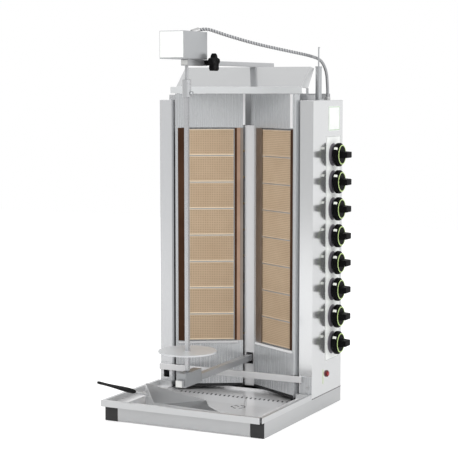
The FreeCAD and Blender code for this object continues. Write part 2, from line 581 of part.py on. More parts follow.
# Lower slider: a grooved sleeve round the arm with the pivot pin on it
def make_slider():
    side = "arm_width / 2 + slider_wall"
    gap = "arm_width / 2 + slide_gap"
    body = block(("-(" + side + ")", side), ("slider_front", "slider_front + slider_length"),
                 ("lower_arm_low - slider_wall", "slider_top"))
    bore = block(("-(" + gap + ")", gap), ("slider_front - past", "slider_front + slider_length + past"),
                 ("lower_arm_low - slide_gap", "lower_arm_low + lower_arm_height + slide_gap"))
    grooves = []
    for k in range(size["groove_count"]):
        start = "slider_front + groove_start + %d * groove_pitch" % k
        for low, high in ((side + " - groove_depth", side + " + past"),
                          ("-(" + side + ") - past", "-(" + side + ") + groove_depth")):
            grooves.append(block((low, high), (start, start + " + groove_width"), ("0", "slider_top + past")))
    pin = rod("pivot_radius", "z", ("0", "spit_y", "slider_top"), "pivot_height")
    sub_part("lower_slider", group(cut(body, bore, *grooves), pin))


# Spit: drive shaft, coupling with its clamp screw, square bar and meat disc
def make_spit():
    shaft = rod("shaft_radius", "z", ("0", "spit_y", "shaft_base"), "shaft_top - shaft_base")
    sub_part("drive_shaft", shaft)
    coupling = rod("coupling_radius", "z", ("0", "spit_y", "coupling_base"), "coupling_top - coupling_base")
    half = "bar_side / 2 + bearing_gap"
    socket = block(("-(" + half + ")", half), ("spit_y - (" + half + ")", "spit_y + " + half),
                   ("coupling_base - past", "bar_top"))
    bore = rod("shaft_radius + bearing_gap", "z", ("0", "spit_y", "shaft_base"),
               "coupling_top - shaft_base + past")
    hole = rod("clamp_screw_radius + bearing_gap", "x", ("shaft_radius", "spit_y", "clamp_screw_z"),
               "coupling_radius")
    sub_part("spit_coupling", cut(coupling, socket, bore, hole))
    thread = rod("clamp_screw_radius", "x", ("shaft_radius", "spit_y", "clamp_screw_z"), "clamp_screw_length")
    head = rod("clamp_head_radius", "x", ("coupling_radius", "spit_y", "clamp_screw_z"), "clamp_head_length")
    sub_part("coupling_screw", fuse(thread, head))
    bar = block(("-bar_side / 2", "bar_side / 2"), ("spit_y - bar_side / 2", "spit_y + bar_side / 2"),
                ("bar_base", "bar_top"))
    seat = rod("pivot_radius + bearing_gap", "z", ("0", "spit_y", "bar_base - past"),
               "pivot_height + 2 * past")
    sub_part("spit_bar", cut(bar, seat))
    disc = rod("disc_radius", "z", ("0", "spit_y", "disc_base"), "disc_thickness")
    hub = rod("disc_hub_radius", "z", ("0", "spit_y", "disc_base - disc_hub_height"), "disc_hub_height")
    square = block(("-(" + half + ")", half), ("spit_y - (" + half + ")", "spit_y + " + half),
                   ("0", "housing_top"))
    sub_part("meat_disc", cut(fuse(disc, hub), square))


# Upper carriage on its arm, with the drive motor in its casing above
def make_drive():
    half = "arm_width / 2"
    low, high = "upper_arm_x - " + half, "upper_arm_x + " + half
    end = "carriage_front + carriage_length"
    sleeve = block((low + " - slide_gap - carriage_wall", high + " + slide_gap + carriage_wall"),
                   ("carriage_front", end),
                   ("upper_arm_low - slide_gap - carriage_wall", "motor_base - sheet"))
    bore = block((low + " - slide_gap", high + " + slide_gap"), ("carriage_front - past", end + " + past"),
                 ("upper_arm_low - slide_gap", "upper_arm_low + upper_arm_height + slide_gap"))
    thread = rod("star_stem_radius + bearing_gap", "x",
                 (high, "star_y", "upper_arm_low + upper_arm_height / 2"), "arm_width")
    sub_part("upper_carriage", cut(sleeve, bore, thread))
    plate = block(("motor_left", "motor_right"), ("motor_front", "motor_back"),
                  ("motor_base - sheet", "motor_base"))
    shaft_hole = rod("casing_hole", "z", ("0", "spit_y", "motor_base - hole_reach"), "2 * hole_reach")
    sub_part("motor_base_plate", cut(plate, shaft_hole))
    case = block(("motor_left", "motor_right"), ("motor_front", "motor_back"), ("motor_base", "motor_top"))
    inside = block(("motor_left + sheet", "motor_right - sheet"),
                   ("motor_front + sheet", "motor_back - sheet"), ("motor_base - past", "motor_top - sheet"))
    sub_part("motor_casing", cut(case, inside))
    sub_part("motor_front_plate", block(("motor_left + plate_margin", "motor_right - plate_margin"),
                                        ("motor_front - plate_sheet", "motor_front"),
                                        ("motor_base + plate_margin", "motor_top - plate_margin")))
    box_half = "gearbox_side / 2"
    gearbox = cut(block(("-" + box_half, box_half), ("spit_y - " + box_half, "spit_y + " + box_half),
                        ("motor_base", "motor_base + gearbox_height")),
                  rod("shaft_radius + bearing_gap", "z", ("0", "spit_y", "motor_base - past"),
                      "shaft_top - motor_base + past + bearing_gap"))
    motor = rod("motor_radius", "z", ("0", "spit_y", "motor_base + gearbox_height"), "motor_length")
    sub_part("gear_motor", fuse(gearbox, motor))


# Star knob that clamps the upper carriage
def make_star_knob():
    z = "upper_arm_low + upper_arm_height / 2"
    clear = "upper_arm_x + arm_width / 2 + slide_gap"
    stem = rod("star_stem_radius", "x", (clear, "star_y", z), "star_x - (" + clear + ") + star_seat")
    core = rod("star_core_radius", "x", ("star_x", "star_y", z), "star_length")
    collar = rod("star_collar_radius", "x", ("star_x - star_collar_length", "star_y", z), "star_length")
    lobes = []
    reach = "(star_radius - star_lobe_radius)"
    for k in range(size["star_lobe_count"]):
        angle = "(360 * %d / star_lobe_count + star_first_angle)" % k
        lobes.append(rod("star_lobe_radius", "x",
                         ("star_x", "star_y + %s * cos(%s)" % (reach, angle),
                          "%s + %s * sin(%s)" % (z, reach, angle)), "star_lobe_length"))
    sub_part("star_knob", fuse(stem, core, collar, *lobes))


# Hood over the burners, open behind its slope, with a wing bent back at each side, and its brackets
def make_hood():
    s = size
    low, high = "-hood_half_width", "hood_half_width"
    shelf_end = "housing_front + hood_shelf"
    slope_end = "housing_front + hood_slope_back"
    band = block((low, high), ("housing_front", "housing_front + sheet"), ("panel_top", "hood_band_top"))
    shelf = block((low, high), ("housing_front", shelf_end + " + sheet"),
                  ("hood_band_top - sheet", "hood_band_top"))
    fold = "hood_half_width - hood_wing"
    corners = [(shelf_end, "hood_band_top"), (slope_end, "upper_arm_low"),
               (slope_end + " + sheet", "upper_arm_low"), (shelf_end + " + sheet", "hood_band_top - sheet")]
    slope = outline(corners, "YZ", "-(" + fold + ")", fold)
    foot = Vec(value(fold), value(shelf_end), value("hood_band_top"))
    rise = Vec(0, value("hood_slope_back - hood_shelf"), value("upper_arm_low - hood_band_top"))
    inward = Vec(1, 0, 0).cross(rise).normalize() * -1
    across = Vec(s["hood_wing"] + s["wing_flare"], 0, 0) + inward * s["wing_back"]
    face = Part.Face(Part.makePolygon([foot, foot + across, foot + across + rise, foot + rise, foot]))
    wing = doc.addObject("Part::Feature", "Wing")
    wing.Shape = face.extrude(inward * s["sheet"])
    sub_part("hood", fuse(band, shelf, slope, wing, mirrored(wing)))
    strip = block((INNER + " - hood_bracket_reach", INNER + " + hood_bracket_reach + bracket_side"),
                  ("hood_bracket_y", "hood_bracket_y + foot_sheet"),
                  ("housing_top", "housing_top + hood_bracket_height"))
    ear = block(("hood_half_width - sheet - fit_gap - foot_sheet", "hood_half_width - sheet - fit_gap"),
                ("hood_bracket_y", "hood_bracket_y + ear_length"), ("housing_top", "panel_top + ear_rise"))
    bracket = fuse(strip, ear)
    sub_part("hood_brackets", group(bracket, mirrored(bracket)))


# Knob plate, bezels and the eight burner knobs on their valve stems
def make_knobs():
    side = HALF + " + plate_sheet"
    holes = [rod("stem_radius + stem_gap", "x", (HALF + " - hole_reach", "knob_y", knob_height(row)),
                 "2 * hole_reach") for row in range(size["row_count"])]
    middle = "knob_y + knob_plate_shift"
    plate = block((HALF, side), (middle + " - knob_plate_width / 2", middle + " + knob_plate_width / 2"),
                  ("knob_plate_low", "knob_plate_high"))
    sub_part("knob_plate", cut(plate, *holes))
    start = "switch_y + blank_plate_shift"
    sub_part("blank_plate", block((HALF, side), (start, start + " + blank_plate_width"),
                                  ("blank_plate_low", "blank_plate_low + blank_plate_height")))
    bezels = []
    for row in range(size["row_count"]):
        level = knob_height(row)
        ring = cone("bezel_radius", "bezel_face_radius", "x", (side, "knob_y", level), "bezel_depth")
        bezels.append(cut(ring, rod("stem_radius + stem_gap", "x", (HALF, "knob_y", level),
                                    "plate_sheet + bezel_depth + past")))
        rear = side + " + bezel_depth + knob_gap"
        neck = rod("knob_neck_radius", "x", (rear, "knob_y", level), "knob_neck + past")
        skirt = rod("knob_radius", "x", (rear + " + knob_neck", "knob_y", level), "knob_skirt")
        grip = block((rear + " + knob_neck + past", rear + " + knob_neck + knob_skirt + grip_reach"),
                     ("knob_y - grip_length / 2", "knob_y + grip_length / 2"),
                     (level + " - grip_width / 2", level + " + grip_width / 2"))
        bore = rod("stem_radius + bearing_gap", "x", (rear + " - past", "knob_y", level),
                   "knob_neck + knob_skirt")
        stem_start = "(manifold_x - valve_inset + valve_length + stem_play)"
        stem = rod("stem_radius", "x", (stem_start, "knob_y", level),
                   rear + " + knob_neck + knob_skirt - knob_cover - " + stem_start)
        sub_part("knob_%d" % (row + 1), group(cut(fuse(neck, skirt, grip), bore), stem))
    sub_part("knob_bezels", group(*bezels))


# Power switch: collar on the box and the button in it
def make_switch():
    start = (HALF, "switch_y", "switch_z")
    back = HALF + " - button_back"
    barrel = rod("switch_radius - collar_lip - bearing_gap", "x", (back, "switch_y", "switch_z"),
                 "button_back + past")
    bore = rod("button_radius + button_gap", "x", (back + " + collar_back", "switch_y", "switch_z"),
               "button_back + switch_depth")
    sub_part("switch_collar", cut(fuse(rod("switch_radius", "x", start, "switch_depth"), barrel), bore))
    rear = "collar_back + fit_gap + button_travel"
    sub_part("power_button", rod("button_radius", "x", (back + " + " + rear, "switch_y", "switch_z"),
                                 "button_back + switch_depth + button_proud - (%s)" % rear))


# Hose post on the control box, the hose's glands and its hook rod
def make_post():
    base = ("post_x", "post_y", "housing_top")
    post = fuse(rod("post_radius", "z", base, "post_top - housing_top"),
                rod("post_foot_radius", "z", base, "post_foot"),
                rod("post_radius + post_cap_lip", "z", ("post_x", "post_y", "post_top"), "post_cap"))
    hook = fuse(rod("hook_rod_radius", "z", ("post_x", "post_y", "post_top + post_cap"),
                    "hook_top - post_top - post_cap"),
                rod("hook_rod_radius", "y", ("post_x", "post_y", "hook_top - hook_rod_radius"), "hook_ring"))
    sub_part("hose_post", group(post, hook))
    seat = rod("gland_radius", "z", ("post_x", "hose_end_y", "housing_top"), "gland_height")
    wire_way = rod("hose_bore", "z", ("post_x", "hose_end_y", "housing_top - past"),
                   "gland_height + 2 * past")
    sub_part("box_gland", cut(seat, wire_way))
    s = size
    out = (HOSE_ROUTE[1] - HOSE_ROUTE[0]).normalize()
    root = HOSE_ROUTE[0] - out * s["gland_root"]
    boss = Part.makeCylinder(s["gland_radius"], s["gland_root"], root, out)
    side = s["gland_boss"]
    below = Vec(HOSE_ROUTE[0].x - side, HOSE_ROUTE[0].y - side, value("motor_top") - side)
    lid = Part.makeBox(2 * side, 2 * side, side, below)
    shaped("motor_gland", boss.cut(lid))


# The conduit's route from the motor casing over the hook to the control box
HOSE_ROUTE = [Vec(24, -233, 1209), Vec(36, -213, 1216), Vec(62, -169, 1202), Vec(96, -112, 1186),
              Vec(132, -52, 1171), Vec(168, 9, 1159), Vec(203, 69, 1148), Vec(234, 128, 1138),
              Vec(251, 176, 1126), Vec(253.5, 212, 1090), Vec(253, 221, 1050), Vec(252.5, 225, 1028),
              Vec(252.5, 225, 1008)]


def hose_arc(before, corner, after):
    """Start, middle and end of the largest arc that a corner of the route allows."""
    back, on = before - corner, after - corner
    reach = 0.45 * min(back.Length, on.Length)
    half_turn = back.getAngle(on) / 2
    radius = reach * math.tan(half_turn)
    back.normalize()
    on.normalize()
    inward = (back + on).normalize() * (radius / math.sin(half_turn) - radius)
    return corner + back * reach, corner + inward, corner + on * reach, radius


# Wound conduit: ribbed outside along the route, plain for one diameter at each end, with a smooth bore
def make_hose():
    s = size
    edges, radii, start = [], [], HOSE_ROUTE[0]
    for before, corner, after in zip(HOSE_ROUTE, HOSE_ROUTE[1:], HOSE_ROUTE[2:]):
        first, middle, last, radius = hose_arc(before, corner, after)
        radii.append(radius)
        edges.append(Part.LineSegment(start, first).toShape())
        edges.append(Part.Arc(first, middle, last).toShape())
        start = last
    edges.append(Part.LineSegment(start, HOSE_ROUTE[-1]).toShape())
    print("hose bend radii:", [round(radius) for radius in radii])
    path = Part.Wire(edges)
    side = (HOSE_ROUTE[-1] - HOSE_ROUTE[0]).cross(Vec(0, 0, 1)).normalize()

    def ring(run, radius):
        """A circle round the route, its start kept on the same side all the way."""
        for edge in edges:
            if run <= edge.Length:
                break
            run -= edge.Length
        spot = edge.getParameterByLength(min(run, edge.Length))
        along = edge.tangentAt(spot)
        circle = Part.Circle(edge.valueAt(spot), along, radius)
        circle.XAxis = (side - along * side.dot(along)).normalize()
        return Part.Wire(circle.toShape())

    crown = s["hose_radius"]
    root = crown - s["rib_depth"]
    plain = 2 * crown
    count = int((path.Length - 2 * plain) / s["rib_pitch"])
    pitch = (path.Length - 2 * plain) / count
    rings = [ring(0, root)]
    for k in range(count):
        for share, radius in ((0.05, root), (0.25, crown), (0.7, crown), (0.9, root)):
            rings.append(ring(plain + (k + share) * pitch, radius))
    rings.append(ring(path.Length, root))
    skin = Part.makeLoft(rings, True, True)
    bore_ring = Part.Wire(Part.makeCircle(s["hose_bore"], HOSE_ROUTE[0], HOSE_ROUTE[1] - HOSE_ROUTE[0]))
    bore = path.makePipeShell([bore_ring], True, False)
    print("hose length %.0f, %d ribs, bore volume ratio %.3f"
          % (path.Length, count, bore.Volume / (math.pi * s["hose_bore"] ** 2 * path.Length)))
    shaped("motor_hose", skin.cut(bore).Solids[0])


# Meat scoop in the tray: pan with its neck, and the handle
def make_scoop():
    s = size
    floor_z = s["tray_floor_low"] + s["scoop_lift"]
    back, mouth = s["scoop_back"] / 2, s["scoop_mouth"] / 2
    deep, wall = s["scoop_depth"], s["scoop_wall"]
    rim = [Vec(0, -back, 0), Vec(deep, -mouth, 0), Vec(deep - s["scoop_notch"], 0, 0), Vec(deep, mouth, 0),
           Vec(0, back, 0)]
    floor = Part.Face(Part.makePolygon(rim + [rim[0]])).extrude(Vec(0, 0, wall))

    def standing(a, b, height_a, height_b):
        along = (b - a).normalize()
        inward = Vec(0, 0, 1).cross(along) * wall
        face = Part.Face(Part.makePolygon([a, b, b + Vec(0, 0, height_b), a + Vec(0, 0, height_a), a]))
        return face.extrude(inward)

    tall, near, lip = s["scoop_back_height"], s["scoop_side_height"] + s["scoop_near_step"], s["scoop_lip"]
    pan = floor.multiFuse([standing(rim[0], rim[1], near, lip), standing(rim[3], rim[4], lip, tall),
                           standing(rim[4], rim[0], tall, near)])
    rise = App.Rotation(Vec(0, 1, 0), s["scoop_handle_rise"])
    out = rise.multVec(Vec(-1, 0, 0))
    root = Vec(wall, s["scoop_handle_side"], s["scoop_handle_height"])
    neck = Part.makeCylinder(s["scoop_neck_radius"], s["scoop_neck_length"] + wall, root, out)
    pan = pan.fuse(neck).removeSplitter()
    start = root + out * (s["scoop_neck_length"] + wall)
    grip = Part.makeCone(s["scoop_handle_radius"], s["handle_tip_radius"], s["scoop_handle_length"],
                         start, out)
    spot = App.Placement(Vec(s["scoop_x"], s["scoop_y"], floor_z),
                         App.Rotation(Vec(0, 0, 1), s["scoop_angle"]))
    for name, shape in (("scoop_pan", pan), ("scoop_handle", grip)):
        piece = shaped(name, shape)
        piece.Placement = spot


make_rails()
make_deck()
make_tray()
make_drawer()
make_housings()
make_feet()
make_burners()
make_gas()
make_column()
make_arms()
make_slider()
make_spit()
make_drive()
make_star_knob()
make_hood()
make_knobs()
make_switch()
make_post()
make_hose()
make_scoop()
doc.recompute()

failed = [o.Label for o in doc.Objects if "Invalid" in o.State or "Error" in o.State]
if failed:
    raise RuntimeError("these objects failed: %s" % failed)
for name, piece in parts.items():
    if piece.Shape.isNull() or not piece.Shape.isValid():
        raise RuntimeError("the shape of %s is not valid" % name)

os.makedirs("parts", exist_ok=True)
for name, piece in parts.items():
    piece.Shape.exportStep(os.path.join("parts", name + ".step"))
print(len(parts), "sub-parts written")
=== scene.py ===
import bpy
import bmesh
import json
import math
from mathutils import Matrix, Vector


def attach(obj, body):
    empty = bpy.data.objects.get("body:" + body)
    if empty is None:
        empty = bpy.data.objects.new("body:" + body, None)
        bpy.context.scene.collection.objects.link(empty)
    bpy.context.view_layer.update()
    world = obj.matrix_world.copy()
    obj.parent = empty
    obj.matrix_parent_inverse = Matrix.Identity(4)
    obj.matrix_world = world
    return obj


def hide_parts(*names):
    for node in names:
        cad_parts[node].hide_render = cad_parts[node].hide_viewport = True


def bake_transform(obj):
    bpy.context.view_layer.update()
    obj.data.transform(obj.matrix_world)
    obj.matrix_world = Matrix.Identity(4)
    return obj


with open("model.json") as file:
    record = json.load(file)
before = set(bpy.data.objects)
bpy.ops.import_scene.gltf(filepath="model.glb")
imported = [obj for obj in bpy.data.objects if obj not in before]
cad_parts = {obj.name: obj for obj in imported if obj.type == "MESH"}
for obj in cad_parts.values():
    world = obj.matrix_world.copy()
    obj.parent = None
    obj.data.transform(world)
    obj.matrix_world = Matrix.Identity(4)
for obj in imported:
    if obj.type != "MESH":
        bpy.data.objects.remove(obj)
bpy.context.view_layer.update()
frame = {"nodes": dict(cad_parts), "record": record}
record = frame["record"]
bodyOf = {node: body for body, nodes in record["behaviour"]["bodies"].items() for node in nodes}


# small tools shared by the pieces

def tone(red, green, blue):
    def linear(level):
        level = level / 255
        return level / 12.92 if level <= 0.04045 else ((level + 0.055) / 1.055) ** 2.4
    return (linear(red), linear(green), linear(blue), 1)


def dull(colour, share):
    return tuple(c * share for c in colour[:3]) + (1,)


def addPiece(name, mesh, material):
    piece = bpy.data.objects.new(name, mesh)
    bpy.context.scene.collection.objects.link(piece)
    if piece.data.materials:
        piece.data.materials.clear()
    piece.data.materials.append(material)
    return piece


def rideWith(piece, node):
    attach(piece, bodyOf[node])
    return piece


def bakeModifiers(piece):
    graph = bpy.context.evaluated_depsgraph_get()
    mesh = bpy.data.meshes.new_from_object(piece.evaluated_get(graph))
    piece.modifiers.clear()
    piece.data = mesh


def soften(piece, width, segments=2, angle=35):
    # rounds the sharp edges and keeps the flats flat
    for face in piece.data.polygons:
        face.use_smooth = True
    piece.data.set_sharp_from_angle(angle=math.radians(angle))
    bevel = piece.modifiers.new("edges", "BEVEL")
    bevel.width = width
    bevel.segments = segments
    bevel.limit_method = "ANGLE"
    bevel.angle_limit = math.radians(angle)
    bevel.use_clamp_overlap = True
    normals = piece.modifiers.new("flats", "WEIGHTED_NORMAL")
    normals.keep_sharp = False
    bakeModifiers(piece)


def dressNode(node, material, width, segments=2):
    # the node's own shape with its edges broken, as bent sheet and turned bar have them
    mesh = frame["nodes"][node].data.copy()
    work = bmesh.new()
    work.from_mesh(mesh)
    bmesh.ops.remove_doubles(work, verts=work.verts, dist=0.000002)
    bmesh.ops.dissolve_limit(work, angle_limit=math.radians(0.8), verts=work.verts, edges=work.edges)
    work.to_mesh(mesh)
    work.free()
    piece = addPiece(node + "_dressed", mesh, material)
    soften(piece, width, segments)
    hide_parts(node)
    return rideWith(piece, node)


def spinProfile(profile, segments, turn=None):
    # profile: (along, radius) pairs round the local X axis; turn(angle) may scale the radius
    work = bmesh.new()
    rings = []
    for along, radius in profile:
        ring = []
        for step in range(segments):
            angle = 2 * math.pi * step / segments
            reach = radius * (turn(angle, along) if turn else 1)
            ring.append(work.verts.new((along, reach * math.cos(angle), reach * math.sin(angle))))
        rings.append(ring)
    for first, second in zip(rings, rings[1:]):
        for step in range(segments):
            after = (step + 1) % segments
            work.faces.new((first[step], first[after], second[after], second[step]))
    work.faces.new(list(reversed(rings[0])))
    work.faces.new(rings[-1])
    bmesh.ops.recalc_face_normals(work, faces=work.faces)
    return work


def finishMesh(work, name, smoothAngle=40):
    mesh = bpy.data.meshes.new(name)
    work.to_mesh(mesh)
    work.free()
    for face in mesh.polygons:
        face.use_smooth = True
    mesh.set_sharp_from_angle(angle=math.radians(smoothAngle))
    return mesh


def addBlock(work, low, high):
    middle = (Vector(low) + Vector(high)) / 2
    span = Vector(high) - Vector(low)
    made = bmesh.ops.create_cube(work, size=1, matrix=Matrix.Translation(middle) @ Matrix.Diagonal((*span, 1)))
    return made["verts"]


# materials

def newMaterial(name):
    material = bpy.data.materials.new(name)
    material.use_nodes = True
    tree = material.node_tree
    return material, tree.nodes, tree.links, tree.nodes["Principled BSDF"]


def objectPlace(nodes, links, stretch):
    place = nodes.new("ShaderNodeTexCoord")
    mapping = nodes.new("ShaderNodeMapping")
    mapping.inputs["Scale"].default_value = stretch
    links.new(place.outputs["Object"], mapping.inputs["Vector"])
    return mapping


def addNoise(nodes, links, mapping, scale, detail=4, roughness=0.6):
    noise = nodes.new("ShaderNodeTexNoise")
    noise.inputs["Scale"].default_value = scale
    noise.inputs["Detail"].default_value = detail
    noise.inputs["Roughness"].default_value = roughness
    links.new(mapping.outputs["Vector"], noise.inputs["Vector"])
    return noise


def spread(nodes, links, source, low, high):
    span = nodes.new("ShaderNodeMapRange")
    span.inputs["From Min"].default_value = 0.3
    span.inputs["From Max"].default_value = 0.7
    span.inputs["To Min"].default_value = low
    span.inputs["To Max"].default_value = high
    links.new(source.outputs["Fac"], span.inputs["Value"])
    return span.outputs["Result"]


def mixColour(nodes, links, factor, first, second):
    mix = nodes.new("ShaderNodeMix")
    mix.data_type = "RGBA"
    links.new(factor, mix.inputs["Factor"])
    mix.inputs["A"].default_value = first
    mix.inputs["B"].default_value = second
    return mix.outputs["Result"]


steelLooks = {
    "railSteelAlongY": {"colour": tone(196, 197, 198), "rough": (0.32, 0.44), "grain": (1600, 5, 1600), "metal": 0.75},
    "railSteelAlongX": {"colour": tone(194, 195, 196), "rough": (0.32, 0.44), "grain": (5, 1600, 1600), "metal": 0.75},
    "trayRimSteel": {"colour": tone(206, 207, 208), "rough": (0.26, 0.36), "grain": (5, 1600, 1600), "metal": 0.7},
    # painted reflection: the tray floor is a much lighter copy of the rim steel
    "trayFloorReflectionSteel": {"colour": tone(248, 248, 249), "rough": (0.16, 0.24), "grain": (6, 1100, 1100), "metal": 0.45},
    "boxSteel": {"colour": tone(222, 223, 224), "rough": (0.12, 0.18), "grain": (1280, 1280, 4), "metal": 0.84},
    "housingSteel": {"colour": tone(208, 209, 211), "rough": (0.20, 0.30), "grain": (1280, 1280, 4), "metal": 0.5},
    "frontSteel": {"colour": tone(196, 198, 200), "rough": (0.22, 0.32), "grain": (1100, 1100, 6), "metal": 0.55},
    "columnSteel": {"colour": tone(214, 214, 215), "rough": (0.28, 0.38), "grain": (1280, 1280, 5), "metal": 0.45},
    "hoodSteel": {"colour": tone(210, 211, 212), "rough": (0.10, 0.16), "grain": (6, 1100, 1100), "metal": 0.78},
    "bandSteel": {"colour": tone(222, 224, 225), "rough": (0.30, 0.42), "grain": (6, 1280, 1280), "metal": 0.75},
    "wingSteel": {"colour": tone(214, 215, 216), "rough": (0.30, 0.40), "grain": (1100, 6, 1100), "metal": 0.75},
    "armSteel": {"colour": tone(188, 189, 191), "rough": (0.26, 0.38), "grain": (1600, 6, 1600), "metal": 0.75},
    "barSteel": {"colour": tone(192, 193, 195), "rough": (0.22, 0.32), "grain": (1600, 1600, 8), "metal": 0.65},
    "discSteel": {"colour": tone(208, 210, 212), "rough": (0.34, 0.44), "grain": (1100, 1100, 1100), "metal": 0.4},
    "casingSteel": {"colour": tone(180, 182, 184), "rough": (0.26, 0.36), "grain": (1280, 1280, 8), "metal": 0.75},
    "sliderSteel": {"colour": tone(160, 162, 164), "rough": (0.30, 0.42), "grain": (1280, 8, 1280), "metal": 0.55},
    "scoopSteel": {"colour": tone(204, 205, 206), "rough": (0.24, 0.36), "grain": (1100, 1100, 1100), "metal": 0.5},
    # painted shade: a darker copy of the scoop steel for its floor
    "scoopFloorShadeSteel": {"colour": tone(128, 129, 131), "rough": (0.26, 0.36), "grain": (1100, 1100, 1100),
                        "metal": 0.6},
    # painted shade: a dark copy of the drawer steel for its floor under the tray
    "drawerFloorShadeSteel": {"colour": tone(92, 93, 95), "rough": (0.34, 0.44), "grain": (1100, 6, 1100), "metal": 0.5},
    "screwSteel": {"colour": tone(196, 196, 196), "rough": (0.25, 0.35), "grain": (1100, 1100, 1100), "metal": 0.8},
    # painted shade: near-black steel laid where there is only shade, in gaps, slots and holes
    "paintedShadeSteel": {"colour": tone(34, 34, 36), "rough": (0.5, 0.6), "grain": (1100, 1100, 1100), "metal": 0.3},
    # painted highlight: a much brighter copy of the panel steel for ledges and flanges that catch the light
    "flangeHighlightSteel": {"colour": tone(246, 246, 247), "rough": (0.24, 0.32), "grain": (1100, 1100, 5), "metal": 0.3},
}


def brushedSteel(name, look):
    material, nodes, links, shader = newMaterial(name)
    brushed = addNoise(nodes, links, objectPlace(nodes, links, look["grain"]), 1, 5, 0.7)
    clouds = addNoise(nodes, links, objectPlace(nodes, links, (1, 1, 1)), 7, 3)
    # a wide spread of roughness turns into streaks under the lamps, so the brushing keeps near its middle
    middle, swing = sum(look["rough"]) / 2, (look["rough"][1] - look["rough"][0]) * 0.1
    links.new(spread(nodes, links, brushed, middle - swing, middle + swing), shader.inputs["Roughness"])
    blend = nodes.new("ShaderNodeMath")
    blend.operation = "MULTIPLY_ADD"
    blend.inputs[1].default_value = 0.45
    links.new(brushed.outputs["Fac"], blend.inputs[0])
    half = nodes.new("ShaderNodeMath")
    half.operation = "MULTIPLY"
    half.inputs[1].default_value = 0.55
    links.new(clouds.outputs["Fac"], half.inputs[0])
    links.new(half.outputs[0], blend.inputs[2])
    links.new(mixColour(nodes, links, blend.outputs[0], dull(look["colour"], 0.975), dull(look["colour"], 1.02)),
              shader.inputs["Base Color"])
    shader.inputs["Metallic"].default_value = look["metal"]
    return material


steel = {name: brushedSteel(name, look) for name, look in steelLooks.items()}


plasticLooks = {
    "capRubber": {"colour": tone(42, 42, 43), "rough": (0.50, 0.68), "grain": 900},
    "knobPlastic": {"colour": tone(5, 5, 6), "rough": (0.52, 0.64), "grain": 1400, "shine": 0.1},
    "bezelPlastic": {"colour": tone(98, 94, 102), "rough": (0.36, 0.5), "grain": 1200, "shine": 0.3},
    "handlePlastic": {"colour": tone(10, 10, 11), "rough": (0.28, 0.40), "grain": 1100, "shine": 0.3},
    "buttonPlastic": {"colour": tone(158, 22, 34), "rough": (0.24, 0.34), "grain": 900},
    "collarPlastic": {"colour": tone(96, 24, 30), "rough": (0.35, 0.45), "grain": 900},
    "armCapPlastic": {"colour": tone(220, 220, 218), "rough": (0.36, 0.48), "grain": 900},
    "ringPaint": {"colour": tone(204, 230, 150), "rough": (0.30, 0.42), "grain": 900},
    "pointerPaint": {"colour": tone(246, 248, 240), "rough": (0.30, 0.42), "grain": 900},
    "plateWhite": {"colour": tone(246, 248, 246), "rough": (0.24, 0.34), "grain": 600},
    "plateGreen": {"colour": tone(150, 190, 140), "rough": (0.30, 0.40), "grain": 600},
    "plateGrey": {"colour": tone(150, 156, 152), "rough": (0.30, 0.40), "grain": 600},
}


def mouldedPlastic(name, look):
    material, nodes, links, shader = newMaterial(name)
    place = objectPlace(nodes, links, (1, 1, 1))
    grain = addNoise(nodes, links, place, look["grain"], 3)
    clouds = addNoise(nodes, links, place, 25, 2)
    links.new(spread(nodes, links, grain, *look["rough"]), shader.inputs["Roughness"])
    links.new(mixColour(nodes, links, clouds.outputs["Fac"], dull(look["colour"], 0.88), dull(look["colour"], 1.08)),
              shader.inputs["Base Color"])
    bump = nodes.new("ShaderNodeBump")
    bump.inputs["Strength"].default_value = 0.12
    bump.inputs["Distance"].default_value = 0.0002
    shader.inputs["Specular IOR Level"].default_value = look.get("shine", 0.5)
    links.new(grain.outputs["Fac"], bump.inputs["Height"])
    links.new(bump.outputs["Normal"], shader.inputs["Normal"])
    return material


plastic = {name: mouldedPlastic(name, look) for name, look in plasticLooks.items()}


tileLook = {"pale": tone(200, 177, 149), "deep": tone(182, 158, 130), "hole": tone(112, 86, 62), "pitch": 0.0058,
            "holeRadius": 0.22, "rim": tone(216, 196, 170), "rimDeep": tone(198, 174, 148),
            "litRim": tone(240, 222, 196), "litRimDeep": tone(228, 208, 180)}


